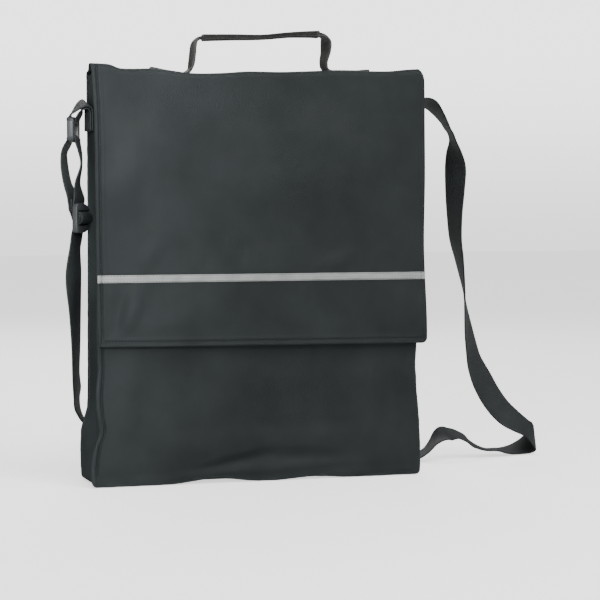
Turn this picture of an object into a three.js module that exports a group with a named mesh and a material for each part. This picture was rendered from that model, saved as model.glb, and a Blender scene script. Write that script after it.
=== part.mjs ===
// A document bag: an upright bag of coated polyester with a full front flap, a reflective stripe,
// a carry handle of folded webbing and an adjustable shoulder strap.
// Millimetres. X runs across the front, the front faces -Y, Z is up, the origin is the middle of the base.
import * as THREE from 'three';
import { mergeVertices } from 'three/addons/utils/BufferGeometryUtils.js';

// Cloth, webbing and clearance
const GAP = 0.3; // between neighbouring pieces
const CLOTH = 1.5; // body wall
const FLAP_CLOTH = 2; // two layers
const WEBBING = 1.5;
const WEBBING_WIDTH = 25;

// Body
const SEAM_RADIUS = 2; // rolled seam along each panel's edge
const SEAM_PROUD = 0.8; // height of that seam above the panels
const CORNER_RADIUS = 9; // lower corners
const FRONT_MOUTH = 362; // top edge of the front panel
const BACK_MOUTH = 369; // top edge of the back panel at the sides
const SIDE_STEPS = 13; // sections from the base to the mouth
const SIDE_CROWD = 1.5; // crowds those sections towards the base
const ROUND = 2; // squareness of a round section
const SEAM_SIDES = 6;
const GUSSET_ROWS = 6;
const FRONT_COLUMNS = 18;
const BACK_COLUMNS = 14;

// Flap
const FLAP_TOP = 382.8; // front fold above the floor
const FLAP_FOLD_RADIUS = 6;
const FLAP_SLOPE = 6; // fall of the top towards the back
const FLAP_SEWN_EDGE = 350; // lower edge of the strip sewn to the back
const HEM_LEFT = 126.5; // height of the hem at its left end
const HEM_RIGHT = 124.3;
const HEM_LEAN = 3; // how far the hem stands off the front panel
const LEAN_HEIGHT = 96; // stretch over which it leans out
const FLAP_CROWN = 1.5; // fullness in the middle
const FLAP_COLUMNS = 24;
const BACK_INSET = 4; // how much shorter the strip sewn to the back is at each end

// Reflective stripe
const STRIPE_HEIGHT = 188;
const STRIPE_WIDTH = 7;
const STRIPE_THICKNESS = 0.8;

// Carry handle
const TAB_WIDTH = 20;
const TAB_THICKNESS = 3; // webbing folded double
const HANDLE_STEP = 7;
const HANDLE_SIDES = 10;
const HANDLE_SQUARENESS = 5; // boxy section of folded webbing

// Ring and slider, moulded for 25 mm webbing
const RING = {
  width: 34.4,
  height: 23.2,
  bar: 4.4,
  thick: 5,
  corner: 5,
  holeCorner: 1.5,
  bevel: 1.2,
  turn: 25,
};
const SLIDER = {
  width: 33.6,
  height: 26.4,
  rim: 3.6,
  slot: 5.5,
  slotCorner: 1.2,
  middle: 4.4,
  thick: 3,
  corner: 7,
  bevel: 0.6,
  turn: 35,
};
const SLIDER_AT = { x: -164.5, y: -3, z: 243 };
const RING_OUT = 16.1; // ring's middle from the side of the bag
const RING_HEIGHT = 323.3;
const RING_DRIFT = 0.47; // backwards shift for each millimetre outwards
const RING_WRAP = 3.9; // radius of webbing round a bar of the ring
const SEWN_WRAP = 3.75; // radius of the sewn end round the slider's middle bar
const RUN_WRAP = 5.6; // radius of the running layer over it

// Sewn ends of the tab and the strap on the sides
const SEWN_LOW = 322;
const SEWN_HIGH = 345;
const LAYER = WEBBING + 0.4; // from one layer of webbing to the next
const TAB_FOLD = { out: 7, z: 346.5 }; // middle of the tab's fold, out from the side
const TAB_OUTER_LEG = { out: 16.6, z: 342 };
const TAB_INNER_LEG = { out: 11.6, z: 341 };
const TAB_SWING = { from: 4, to: 13 }; // stretch over which the tab turns towards the ring
const STRAP_FOLD_OUT = 6; // middle of the strap's fold at the right side
const STRAP_STEP = 11;

// Body by height: half its depth, and the side edges of its panels
const BODY_SECTIONS = [
  { z: 0, halfDepth: 35, frontLeft: -162, backLeft: -158, right: 154 },
  { z: 20, halfDepth: 35, frontLeft: -163, backLeft: -159, right: 154.3 },
  { z: 37, halfDepth: 34.5, frontLeft: -160, backLeft: -159, right: 154 },
  { z: 50, halfDepth: 33.5, frontLeft: -155.5, backLeft: -158, right: 153.7 },
  { z: 66, halfDepth: 32, frontLeft: -157, backLeft: -153.5, right: 153 },
  { z: 83, halfDepth: 30, frontLeft: -157.5, backLeft: -153, right: 152.3 },
  { z: 104, halfDepth: 28.2, frontLeft: -155.5, backLeft: -153.2, right: 151.2 },
  { z: 140, halfDepth: 26, frontLeft: -155.5, backLeft: -153.5, right: 152 },
  { z: 220, halfDepth: 23, frontLeft: -155, backLeft: -153.8, right: 152.5 },
  { z: 370, halfDepth: 19, frontLeft: -155.5, backLeft: -155, right: 153.5 },
];

// Inward fold of the two sides by height
const SIDE_FOLDS = [
  { z: 0, inwards: 0 },
  { z: 9, inwards: 0.5 },
  { z: 40, inwards: 4.5 },
  { z: 90, inwards: 6 },
  { z: 200, inwards: 8 },
  { z: 285, inwards: 4.5 },
  { z: 312, inwards: 0.6 },
  { z: 322, inwards: 0 },
  { z: 370, inwards: 0 },
];

// Places where the front edge of the base lifts off the floor
const BASE_LIFTS = [
  { x: -47, wide: 46, lift: 4 },
  { x: 48, wide: 40, lift: 2 },
];

// Soft folds and hollows of the front panel below the flap
const FRONT_FOLDS = [
  { x: -128, z: 66, wide: 22, tall: 46, out: 2.5 },
  { x: -72, z: 62, wide: 52, tall: 48, out: -4 },
  { x: 8, z: 22, wide: 112, tall: 13, out: 3.5 },
  { x: 8, z: 46, wide: 112, tall: 24, out: -2.5 },
  { x: 98, z: 66, wide: 48, tall: 44, out: 1.5 },
];

// Soft folds of the flap
const FLAP_FOLDS = [
  { x: -118, z: 168, wide: 36, tall: 44, out: 1.4 },
  { x: -60, z: 300, wide: 80, tall: 66, out: 1.2 },
  { x: 84, z: 290, wide: 70, tall: 80, out: 1 },
  { x: 96, z: 160, wide: 60, tall: 36, out: 1.2 },
];

// Flap's side edges by height
const FLAP_EDGES = [
  { z: 124, left: -156, right: 160.5 },
  { z: 136, left: -156, right: 161.4 },
  { z: 160, left: -156, right: 161.4 },
  { z: 220, left: -156, right: 160.7 },
  { z: 280, left: -156.1, right: 162.2 },
  { z: 335, left: -156.4, right: 162.3 },
  { z: 384, left: -159, right: 160.5 },
];

// Sag of the flap's top along its length
const TOP_SAGS = [
  { x: -160, drop: 0 },
  { x: -147, drop: 1 },
  { x: -129, drop: 4.8 },
  { x: -98, drop: 3 },
  { x: -66, drop: 7.4 },
  { x: -37, drop: 6.8 },
  { x: -13, drop: 5 },
  { x: 21, drop: 5.4 },
  { x: 68, drop: 2.7 },
  { x: 89, drop: 1.8 },
  { x: 125, drop: 3 },
  { x: 163, drop: 0 },
];

// Carry handle between its two tabs, from left to right
const HANDLE_BENDS = [
  { x: -65, z: 376.4, width: 18, thick: 2.6 },
  { x: -61.6, z: 379.5, width: 13, thick: 2.4 },
  { x: -60, z: 385, width: 11, thick: 2.4 },
  { x: -58.7, z: 395, width: 11, thick: 2.4 },
  { x: -57.8, z: 402, width: 11, thick: 2.8 },
  { x: -54.6, z: 407.2, width: 11, thick: 4.4 },
  { x: -48, z: 408.9, width: 12, thick: 6 },
  { x: -20, z: 409.9, width: 12, thick: 5.6 },
  { x: 8, z: 410.6, width: 12, thick: 4.8 },
  { x: 36, z: 413.4, width: 12, thick: 5 },
  { x: 59, z: 414.8, width: 12, thick: 6 },
  { x: 66.6, z: 412.8, width: 14, thick: 4.6 },
  { x: 69.9, z: 407, width: 17, thick: 3 },
  { x: 70.3, z: 399, width: 16, thick: 2.4 },
  { x: 69.2, z: 388, width: 13, thick: 2.4 },
  { x: 70.8, z: 382.2, width: 14, thick: 2.6 },
];
const LEFT_TAB = { from: -101, to: -71 };
const RIGHT_TAB = { from: 76, to: 111 };

// Layers of the strap at the slider: outwards from the bag's side, and upwards from the slider's middle
const SEWN_TAIL = [
  { out: 4.9, up: 17 },
  { out: 4.9, up: 11 },
  { out: 4.8, up: 7.3 },
  { out: 3.2, up: 4.7 },
];
const SEWN_LAYER = [
  { out: 4.4, up: 1.6 },
  { out: 5.5, up: 4.6 },
  { out: 6.9, up: 7.5 },
  { out: 7.2, up: 11 },
  { out: 8.4, up: 18 },
];
const RUN_ABOVE = [
  { out: 2.2, up: 17 },
  { out: 2.9, up: 13.5 },
  { out: 3, up: 11 },
  { out: 3, up: 8.4 },
  { out: 2, up: 6.3 },
];

// Route of the strap. turn swings the direction across the webbing from +Y towards +X, and tip raises it
const OUTER_LAYER = [
  { x: -176, y: 2, z: 274, turn: 28, tip: 0 },
  { x: -178.4, y: 4, z: 290, turn: 26, tip: 0 },
  { x: -177.6, y: 6.5, z: 303, turn: 23, tip: 0 },
];
const INNER_LAYER = [
  { x: -164, y: 4.5, z: 303, turn: 18, tip: 0 },
  { x: -163.2, y: 2.5, z: 291, turn: 14, tip: 0 },
  { x: -167, y: 0, z: 274, turn: 22, tip: 0 },
];
const STRAP_ROUTE = [
  { x: -170.2, y: -1.5, z: 216, turn: 34, tip: 0 },
  { x: -171.5, y: 0, z: 191, turn: 45, tip: 0 },
  { x: -169, y: 6, z: 159, turn: 36, tip: 0 },
  { x: -167, y: 12, z: 126, turn: 27, tip: 0 },
  { x: -165.8, y: 18, z: 98, turn: 20, tip: 0 },
  { x: -163, y: 27, z: 83, turn: 16, tip: 0 },
  { x: -158.5, y: 42, z: 68, turn: 10, tip: 0 },
  { x: -151, y: 55, z: 54, turn: 5, tip: 0 },
  { x: -138, y: 62, z: 36, turn: 2, tip: 0 },
  { x: -116, y: 65, z: 17, turn: 0, tip: 0 },
  { x: -86, y: 67, z: 5, turn: 0, tip: 0 },
  { x: -50, y: 67, z: 1.2, turn: 0, tip: 0 },
  { x: 40, y: 65, z: 1.2, turn: 0, tip: 0 },
  { x: 110, y: 61, z: 1.2, turn: 0, tip: 0 },
  { x: 160, y: 59, z: 1.6, turn: 0, tip: 0 },
  { x: 181, y: 59, z: 3.2, turn: 0, tip: 3 },
  { x: 195.5, y: 60, z: 9, turn: 4, tip: 5 },
  { x: 206.5, y: 62, z: 17.6, turn: 7, tip: 10 },
  { x: 218.5, y: 65, z: 24.2, turn: 8, tip: 26 },
  { x: 230, y: 67, z: 24.8, turn: 13, tip: 14 },
  { x: 242, y: 70, z: 19.8, turn: 20, tip: 6 },
  { x: 251, y: 72, z: 13.5, turn: 22, tip: 1 },
  { x: 265, y: 75, z: 7.3, turn: 20, tip: -4 },
  { x: 277, y: 77, z: 4, turn: 18, tip: -6 },
  { x: 290, y: 79, z: 2.8, turn: 14, tip: 6 },
  { x: 302, y: 80, z: 4.6, turn: 10, tip: 16 },
  { x: 312, y: 80, z: 6.6, turn: 6, tip: 26 },
  { x: 321, y: 78, z: 13.4, turn: 0, tip: 70 },
  { x: 315, y: 75, z: 24, turn: 25, tip: 50 },
  { x: 302, y: 72, z: 31.3, turn: 50, tip: 36 },
  { x: 284, y: 68, z: 44.3, turn: 68, tip: 42 },
  { x: 269, y: 63, z: 59.7, turn: 77, tip: 38 },
  { x: 256, y: 57, z: 77.8, turn: 74, tip: 31 },
  { x: 244.5, y: 50, z: 96.3, turn: 56, tip: 18 },
  { x: 238, y: 44, z: 113.4, turn: 46, tip: 11 },
  { x: 231.7, y: 37, z: 132.5, turn: 37, tip: 8 },
  { x: 226.4, y: 31, z: 153, turn: 26, tip: 1 },
  { x: 223.3, y: 27, z: 168, turn: 20, tip: 0 },
  { x: 215, y: 20, z: 200.7, turn: 4, tip: 0 },
  { x: 209.2, y: 15, z: 220.4, turn: -5, tip: 0 },
  { x: 206.4, y: 11, z: 245, turn: -14, tip: 0 },
  { x: 206, y: 9, z: 269, turn: -26, tip: 0 },
  { x: 206, y: 8, z: 290, turn: -32, tip: 0 },
  { x: 204.2, y: 7, z: 305, turn: -14, tip: 2 },
  { x: 202.8, y: 6, z: 315.5, turn: 7, tip: 0 },
  { x: 199.8, y: 5, z: 322.4, turn: 14, tip: -4 },
  { x: 196, y: 4, z: 327.5, turn: 13, tip: -4 },
  { x: 191.2, y: 3, z: 334.8, turn: 9, tip: -5 },
  { x: 184, y: 2, z: 343.7, turn: 4, tip: -11 },
  { x: 177.5, y: 1, z: 349.7, turn: 3, tip: -18 },
  { x: 170, y: 0, z: 352.8, turn: 0, tip: -16 },
  { x: 162.5, y: 0, z: 352.5, turn: 0, tip: -8 },
];

const FINISH = {
  polyester: { color: 0x343938, roughness: 0.78, metalness: 0 },
  gusset: { color: 0x303433, roughness: 0.8, metalness: 0 },
  seam: { color: 0x3c4040, roughness: 0.75, metalness: 0 },
  reflective: { color: 0xa6a9a7, roughness: 0.45, metalness: 0 },
  webbing: { color: 0x25282a, roughness: 0.85, metalness: 0 },
  grip: { color: 0x2d2e2f, roughness: 0.85, metalness: 0 },
  plastic: { color: 0x2a2c2d, roughness: 0.4, metalness: 0 },
};

const { degToRad, lerp, smoothstep } = THREE.MathUtils;
const point = (x, y, z) => new THREE.Vector3(x, y, z);

// Smooth value of one column of a table
function tableCurve(rows, key, value) {
  const curve = new THREE.CubicInterpolant(rows.map((row) => row[key]), rows.map((row) => row[value]), 1);
  return (at) => curve.evaluate(at)[0];
}

// Round hill of height 1, falling to 0 at a distance of 1
const hill = (distance) => (distance < 1 ? 0.5 + 0.5 * Math.cos(Math.PI * distance) : 0);

// Relief of a table of folds at a place on a panel
function relief(folds, x, z) {
  return folds.reduce((sum, fold) => {
    const distance = Math.hypot((x - fold.x) / fold.wide, (z - fold.z) / fold.tall);
    return sum + fold.out * hill(distance);
  }, 0);
}

// Geometry with its shared vertices joined
function closed(geometry) {
  geometry.deleteAttribute('normal');
  geometry.deleteAttribute('uv');
  const joined = mergeVertices(geometry, 1e-4);
  joined.computeVertexNormals();
  return joined;
}

// Inward direction square to a surface
function squareTo(surface) {
  const nudge = 1e-3;
  return (u, v) => {
    const alongU = surface(Math.min(u + nudge, 1), v).sub(surface(Math.max(u - nudge, 0), v));
    const alongV = surface(u, Math.min(v + nudge, 1)).sub(surface(u, Math.max(v - nudge, 0)));
    return alongV.cross(alongU).normalize();
  };
}

// Closed wall: surface(u, v) is its outer face, and its thickness lies inwards, square to it by default
function wall(columns, rows, thickness, surface, inwardsAt = squareTo(surface)) {
  const box = new THREE.BoxGeometry(1, 1, 1, columns, rows, 1);
  const places = box.attributes.position;
  for (let i = 0; i < places.count; i++) {
    const u = Math.round((places.getX(i) + 0.5) * columns) / columns;
    const v = Math.round((places.getY(i) + 0.5) * rows) / rows;
    const place = surface(u, v).addScaledVector(inwardsAt(u, v), (0.5 - places.getZ(i)) * thickness);
    places.setXYZ(i, place.x, place.y, place.z);
  }
  return closed(box);
}

// Gives each station its direction along the route, squares its direction across, and adds its facing
function framed(stations) {
  stations.forEach((station, i) => {
    const before = stations[Math.max(i - 1, 0)].at;
    const after = stations[Math.min(i + 1, stations.length - 1)].at;
    const along = after.clone().sub(before).normalize();
    station.across = station.across.clone().addScaledVector(along, -station.across.dot(along)).normalize();
    station.facing = along.cross(station.across);
  });
  return stations;
}

// Stations along a smooth route through rows of at, across, width and thick
function stationsAlong(rows, step) {
  const last = rows.length - 1;
  const route = new THREE.CatmullRomCurve3(rows.map((row) => row.at));
  const swing = new THREE.CatmullRomCurve3(rows.map((row) => row.across), false, 'catmullrom');
  const stations = [];
  for (let i = 0; i < last; i++) {
    const count = Math.max(1, Math.round(rows[i].at.distanceTo(rows[i + 1].at) / step));
    for (let k = 0; k < count; k++) {
      const part = k / count;
      stations.push({
        at: route.getPoint((i + part) / last),
        across: swing.getPoint((i + part) / last),
        width: lerp(rows[i].width, rows[i + 1].width, part),
        thick: lerp(rows[i].thick, rows[i + 1].thick, part),
      });
    }
  }
  stations.push({ ...rows[last] });
  return framed(stations);
}

// Flat band through framed stations
function band(stations) {
  const last = stations.length - 1;
  const box = new THREE.BoxGeometry(1, 1, 1, last, 1, 1);
  const places = box.attributes.position;
  for (let i = 0; i < places.count; i++) {
    const { at, across, facing, width, thick } = stations[Math.round((places.getX(i) + 0.5) * last)];
    const place = at.clone();
    place.addScaledVector(across, places.getY(i) * width);
    place.addScaledVector(facing, places.getZ(i) * thick);
    places.setXYZ(i, place.x, place.y, place.z);
  }
  return closed(box);
}

// Rounded bar through framed stations; its section is an ellipse at ROUND, and boxier above it
function bar(stations, sides, squareness) {
  const last = stations.length - 1;
  const rod = new THREE.CylinderGeometry(1, 1, 1, sides, last);
  const places = rod.attributes.position;
  const squared = (value) => Math.sign(value) * Math.abs(value) ** (ROUND / squareness);
  for (let i = 0; i < places.count; i++) {
    const { at, across, facing, width, thick } = stations[Math.round((places.getY(i) + 0.5) * last)];
    const place = at.clone();
    place.addScaledVector(across, squared(places.getX(i)) * width / 2);
    place.addScaledVector(facing, -squared(places.getZ(i)) * thick / 2);
    places.setXYZ(i, place.x, place.y, place.z);
  }
  return closed(rod);
}

function mesh(name, geometry, finish) {
  const piece = new THREE.Mesh(geometry, new THREE.MeshStandardMaterial(FINISH[finish]));
  piece.name = name;
  return piece;
}

// Body: two panels, the strip round their sides and base, and a rolled seam along each panel
const halfDepth = tableCurve(BODY_SECTIONS, 'z', 'halfDepth');
const rightEdge = tableCurve(BODY_SECTIONS, 'z', 'right');
const sideFold = tableCurve(SIDE_FOLDS, 'z', 'inwards');
const baseLift = (x) => BASE_LIFTS.reduce((sum, row) => {
  return sum + row.lift * hill(Math.abs(x - row.x) / row.wide);
}, 0);
const front = {
  toBack: 1,
  mouth: FRONT_MOUTH,
  left: tableCurve(BODY_SECTIONS, 'z', 'frontLeft'),
  lift: baseLift,
};
const back = {
  toBack: -1,
  mouth: BACK_MOUTH,
  left: tableCurve(BODY_SECTIONS, 'z', 'backLeft'),
  lift: () => 0,
};
const SEAM_INSET = 2 * SEAM_RADIUS + GAP; // from a panel's outline to its cut edge

// U-shaped outline of a panel, from its left mouth corner round the base to the right one
function outline(face) {
  const cornerSteps = 3;
  const baseSteps = 12;
  const radius = CORNER_RADIUS;
  const left = face.left(radius) + radius;
  const right = rightEdge(radius) - radius;
  const stations = [];
  const add = (x, z, inX, inZ) => {
    stations.push({ at: point(x, -face.toBack * halfDepth(z), z), inwards: point(inX, 0, inZ) });
  };
  const sideHeight = (i) => lerp(radius, face.mouth, (i / SIDE_STEPS) ** SIDE_CROWD);
  for (let i = SIDE_STEPS; i > 0; i--) {
    const z = sideHeight(i);
    add(face.left(z), z, 1, 0);
  }
  for (let i = 0; i < cornerSteps; i++) {
    const angle = i / cornerSteps * Math.PI / 2;
    const inX = Math.cos(angle);
    const inZ = Math.sin(angle);
    add(left - radius * inX, radius - radius * inZ, inX, inZ);
  }
  for (let i = 0; i <= baseSteps; i++) {
    const x = lerp(left, right, i / baseSteps);
    add(x, face.lift(x), 0, 1);
  }
  for (let i = 1; i <= cornerSteps; i++) {
    const angle = i / cornerSteps * Math.PI / 2;
    const inX = -Math.sin(angle);
    const inZ = Math.cos(angle);
    add(right - radius * inX, radius - radius * inZ, inX, inZ);
  }
  for (let i = 1; i <= SIDE_STEPS; i++) {
    const z = sideHeight(i);
    add(rightEdge(z), z, -1, 0);
  }
  return stations;
}

function seam(face) {
  const stations = outline(face).map(({ at, inwards }) => {
    const middle = at.clone().addScaledVector(inwards, SEAM_RADIUS);
    middle.y += face.toBack * SEAM_RADIUS;
    return { at: middle, across: inwards, width: 2 * SEAM_RADIUS, thick: 2 * SEAM_RADIUS };
  });
  return bar(framed(stations), SEAM_SIDES, ROUND);
}

function panel(face, columns, sagAt, reliefAt) {
  const cornerRadius = CORNER_RADIUS - SEAM_INSET;
  return wall(columns, SIDE_STEPS, CLOTH, (u, v) => {
    const across = face.toBack > 0 ? u : 1 - u;
    const part = 0.5 - 0.5 * Math.cos(Math.PI * across); // columns crowd towards the sides
    const width = rightEdge(0) - face.left(0) - 2 * SEAM_INSET;
    const toSide = Math.min(part, 1 - part) * width;
    const reach = Math.max(cornerRadius - toSide, 0);
    const round = cornerRadius - Math.sqrt(cornerRadius ** 2 - reach ** 2);
    const baseX = lerp(face.left(0) + SEAM_INSET, rightEdge(0) - SEAM_INSET, part);
    const z = lerp(SEAM_INSET + face.lift(baseX) + round, face.mouth - sagAt(baseX), v ** SIDE_CROWD);
    const x = lerp(face.left(z) + SEAM_INSET, rightEdge(z) - SEAM_INSET, part);
    const depth = halfDepth(z) - SEAM_PROUD + reliefAt(x, z);
    return point(x, -face.toBack * depth, z);
  });
}

function gusset() {
  const fronts = outline(front);
  const backs = outline(back);
  const last = fronts.length - 1;
  const between = (list, place, field) => {
    const i = Math.min(Math.floor(place), last - 1);
    return list[i][field].clone().lerp(list[i + 1][field], place - i);
  };
  const inwardsAt = (u) => between(fronts, u * last, 'inwards').normalize();
  const surface = (u, v) => {
    const frontAt = between(fronts, u * last, 'at');
    const backAt = between(backs, u * last, 'at');
    const inwards = inwardsAt(u);
    const upright = 1 - inwards.z; // 1 on the sides, 0 along the base
    const share = lerp(smoothstep(v, 0.6, 1), v, upright);
    const place = backAt.clone().lerp(frontAt, share);
    place.y = lerp(backAt.y - SEAM_INSET, frontAt.y + SEAM_INSET, v);
    const fold = Math.max(sideFold(place.z), 0) * Math.sin(Math.PI * v);
    return place.addScaledVector(inwards, (SEAM_PROUD + fold) * upright);
  };
  return wall(last, GUSSET_ROWS, CLOTH, surface, inwardsAt);
}

// Flap: sewn to the back, folded over the top and hanging down the front
const flapLeft = tableCurve(FLAP_EDGES, 'z', 'left');
const flapRight = tableCurve(FLAP_EDGES, 'z', 'right');
const topSag = tableCurve(TOP_SAGS, 'x', 'drop');
const flapTop = (x) => FLAP_TOP - topSag(x);

// Outer face of the flap's hanging part, as a depth in front of the middle of the bag
function flapDepth(x, z) {
  const span = (x - flapLeft(z)) / (flapRight(z) - flapLeft(z));
  const crown = FLAP_CROWN * Math.sin(Math.PI * span) * smoothstep(z, HEM_RIGHT, FLAP_TOP - LEAN_HEIGHT);
  const rising = 1 - smoothstep(z, FLAP_TOP - LEAN_HEIGHT, FLAP_TOP);
  const lean = HEM_LEAN * (1 - smoothstep(z, HEM_RIGHT, HEM_RIGHT + LEAN_HEIGHT));
  return halfDepth(z) + GAP + FLAP_CLOTH + lean + crown * rising + relief(FLAP_FOLDS, x, z);
}

function flap() {
  const radius = FLAP_FOLD_RADIUS;
  const steps = { hang: 16, fold: 3, top: 3, sewn: 2 };
  const rows = steps.hang + 2 * steps.fold + steps.top + steps.sewn;
  return wall(FLAP_COLUMNS, rows, FLAP_CLOTH, (u, v) => {
    const x = lerp(flapLeft(FLAP_TOP), flapRight(FLAP_TOP), u);
    const frontTop = flapTop(x);
    const backTop = frontTop - FLAP_SLOPE;
    const frontFold = flapDepth(x, frontTop - radius) - radius;
    const backFold = halfDepth(backTop) + GAP + FLAP_CLOTH - radius;
    const edged = (y, z) => {
      const inset = BACK_INSET * smoothstep(y, -frontFold, backFold);
      return point(lerp(flapLeft(z) + inset, flapRight(z) - inset, u), y, z);
    };
    let row = v * rows;
    if (row <= steps.hang) {
      const z = lerp(lerp(HEM_LEFT, HEM_RIGHT, u), frontTop - radius, row / steps.hang);
      const hangX = lerp(flapLeft(z), flapRight(z), u);
      return point(hangX, -flapDepth(hangX, z), z);
    }
    row -= steps.hang;
    if (row <= steps.fold) {
      const angle = row / steps.fold * Math.PI / 2;
      return edged(-frontFold - radius * Math.cos(angle), frontTop - radius + radius * Math.sin(angle));
    }
    row -= steps.fold;
    if (row <= steps.top) {
      const part = row / steps.top;
      return edged(lerp(-frontFold, backFold, part), lerp(frontTop, backTop, part));
    }
    row -= steps.top;
    if (row <= steps.fold) {
      const angle = row / steps.fold * Math.PI / 2;
      return edged(backFold + radius * Math.sin(angle), backTop - radius + radius * Math.cos(angle));
    }
    row -= steps.fold;
    const z = lerp(backTop - radius, FLAP_SEWN_EDGE, row / steps.sewn);
    return edged(halfDepth(z) + GAP + FLAP_CLOTH, z);
  });
}

function stripe() {
  return wall(FLAP_COLUMNS, 1, STRIPE_THICKNESS, (u, v) => {
    const z = STRIPE_HEIGHT + STRIPE_WIDTH * (v - 0.5);
    const x = lerp(flapLeft(z) + GAP, flapRight(z) - GAP, u);
    return point(x, -flapDepth(x, z) - GAP - STRIPE_THICKNESS, z);
  });
}

// Carry handle: a tab along the top at each end, a post and the folded grip
function handle() {
  const level = point(0, 1, 0);
  const topRun = 2 * (halfDepth(FLAP_TOP) + GAP + FLAP_CLOTH - FLAP_FOLD_RADIUS);
  const topSlope = point(0, topRun, -FLAP_SLOPE).normalize();
  const tab = ({ from, to }) => {
    const steps = 4;
    return Array.from({ length: steps + 1 }, (_, i) => {
      const x = lerp(from, to, i / steps);
      const z = flapTop(x) - FLAP_SLOPE / 2 + 2 * GAP + TAB_THICKNESS / 2;
      return { at: point(x, 0, z), across: topSlope, width: TAB_WIDTH, thick: TAB_THICKNESS };
    });
  };
  const bends = HANDLE_BENDS.map(({ x, z, width, thick }) => {
    return { at: point(x, 0, z), across: level, width, thick };
  });
  const stations = stationsAlong([...tab(LEFT_TAB), ...bends, ...tab(RIGHT_TAB)], HANDLE_STEP);
  return bar(stations, HANDLE_SIDES, HANDLE_SQUARENESS);
}

// Webbing at a place, lying across the direction given by turn and tip in degrees
function webbingAt(at, turn, tip = 0) {
  const level = Math.cos(degToRad(tip));
  const rise = Math.sin(degToRad(tip));
  const across = point(Math.sin(degToRad(turn)) * level, Math.cos(degToRad(turn)) * level, rise);
  return { at, across, width: WEBBING_WIDTH, thick: WEBBING };
}

// Outer face of a side at the height where webbing is sewn to it
const sewnMiddle = (SEWN_LOW + SEWN_HIGH) / 2;
const leftFace = Math.min(front.left(sewnMiddle), back.left(sewnMiddle)) + SEAM_PROUD;
const rightFace = rightEdge(sewnMiddle) - SEAM_PROUD;
const ringMiddle = point(leftFace - RING_OUT, RING_OUT * RING_DRIFT, RING_HEIGHT);
const ringBar = (RING.height - RING.bar) / 2; // from the ring's middle to its upper and lower bars
const sliderMiddle = point(SLIDER_AT.x, SLIDER_AT.y, SLIDER_AT.z);

// Webbing beside a fitting, out from the bag and up from the fitting's middle
function besideFitting(middle, turn, out, up) {
  const angle = degToRad(turn);
  const at = point(middle.x - out * Math.cos(angle), middle.y + out * Math.sin(angle), middle.z + up);
  return webbingAt(at, turn);
}

// Webbing round a bar of a fitting, by angle from the outward direction
function roundBar(middle, turn, radius, barUp, fromAngle, toAngle, steps) {
  return Array.from({ length: steps + 1 }, (_, i) => {
    const angle = degToRad(lerp(fromAngle, toAngle, i / steps));
    return besideFitting(middle, turn, radius * Math.cos(angle), barUp + radius * Math.sin(angle));
  });
}

// Tab on the left side: two sewn tails, a fold outwards and a loop round the ring's upper bar
function strapTab() {
  const outerRadius = TAB_FOLD.out - GAP - WEBBING / 2;
  const innerRadius = outerRadius - LAYER;
  const placed = ({ out, z }) => {
    const swing = smoothstep(out, TAB_SWING.from, TAB_SWING.to);
    return webbingAt(point(leftFace - out, RING_DRIFT * out * swing, z), RING.turn * swing);
  };
  const folded = (radius, fromAngle, toAngle) => Array.from({ length: 6 }, (_, i) => {
    const angle = degToRad(lerp(fromAngle, toAngle, i / 5));
    const out = TAB_FOLD.out + radius * Math.cos(angle);
    return placed({ out, z: TAB_FOLD.z + radius * Math.sin(angle) });
  });
  const tail = (radius) => [0, 0.35, 0.7, 0.95].map((part) => {
    return placed({ out: TAB_FOLD.out - radius, z: lerp(SEWN_LOW, SEWN_HIGH, part) });
  });
  return band(stationsAlong([
    ...tail(outerRadius),
    ...folded(outerRadius, 180, 50),
    placed(TAB_OUTER_LEG),
    ...roundBar(ringMiddle, RING.turn, RING_WRAP, ringBar, 15, -185, 7),
    placed(TAB_INNER_LEG),
    ...folded(innerRadius, 15, 180),
    ...tail(innerRadius).reverse(),
  ], STRAP_STEP));
}

// Rounded rectangle traced into a shape or a hole
function roundedRectangle(path, width, height, radius, middleY = 0) {
  const x = width / 2 - radius;
  const y = height / 2 - radius;
  path.absarc(x, middleY + y, radius, 0, Math.PI / 2);
  path.absarc(-x, middleY + y, radius, Math.PI / 2, Math.PI);
  path.absarc(-x, middleY - y, radius, Math.PI, Math.PI * 1.5);
  path.absarc(x, middleY - y, radius, Math.PI * 1.5, Math.PI * 2);
  path.closePath();
  return path;
}

// Plate cut from a shape, with bevelled edges, standing upright and turned like the webbing
function fitting(shape, thick, bevel, middle, turn) {
  const plate = new THREE.ExtrudeGeometry(shape, {
    depth: thick - 2 * bevel,
    bevelEnabled: true,
    bevelThickness: bevel,
    bevelSize: bevel,
    bevelOffset: -bevel,
    bevelSegments: 1,
    curveSegments: 4,
  });
  plate.translate(0, 0, bevel - thick / 2);
  plate.rotateX(Math.PI / 2);
  plate.rotateZ(Math.PI / 2 - degToRad(turn));
  plate.translate(middle.x, middle.y, middle.z);
  return closed(plate);
}

function strapRing() {
  const { width, height, bar: barSize, holeCorner } = RING;
  const shape = roundedRectangle(new THREE.Shape(), width, height, RING.corner);
  const hole = roundedRectangle(new THREE.Path(), width - 2 * barSize, height - 2 * barSize, holeCorner);
  shape.holes.push(hole);
  return fitting(shape, RING.thick, RING.bevel, ringMiddle, RING.turn);
}

function strapSlider() {
  const { width, height, rim, slot, slotCorner, middle } = SLIDER;
  const shape = roundedRectangle(new THREE.Shape(), width, height, SLIDER.corner);
  for (const side of [-1, 1]) {
    const slotMiddle = side * (middle + slot) / 2;
    shape.holes.push(roundedRectangle(new THREE.Path(), width - 2 * rim, slot, slotCorner, slotMiddle));
  }
  return fitting(shape, SLIDER.thick, SLIDER.bevel, sliderMiddle, SLIDER.turn);
}

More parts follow.
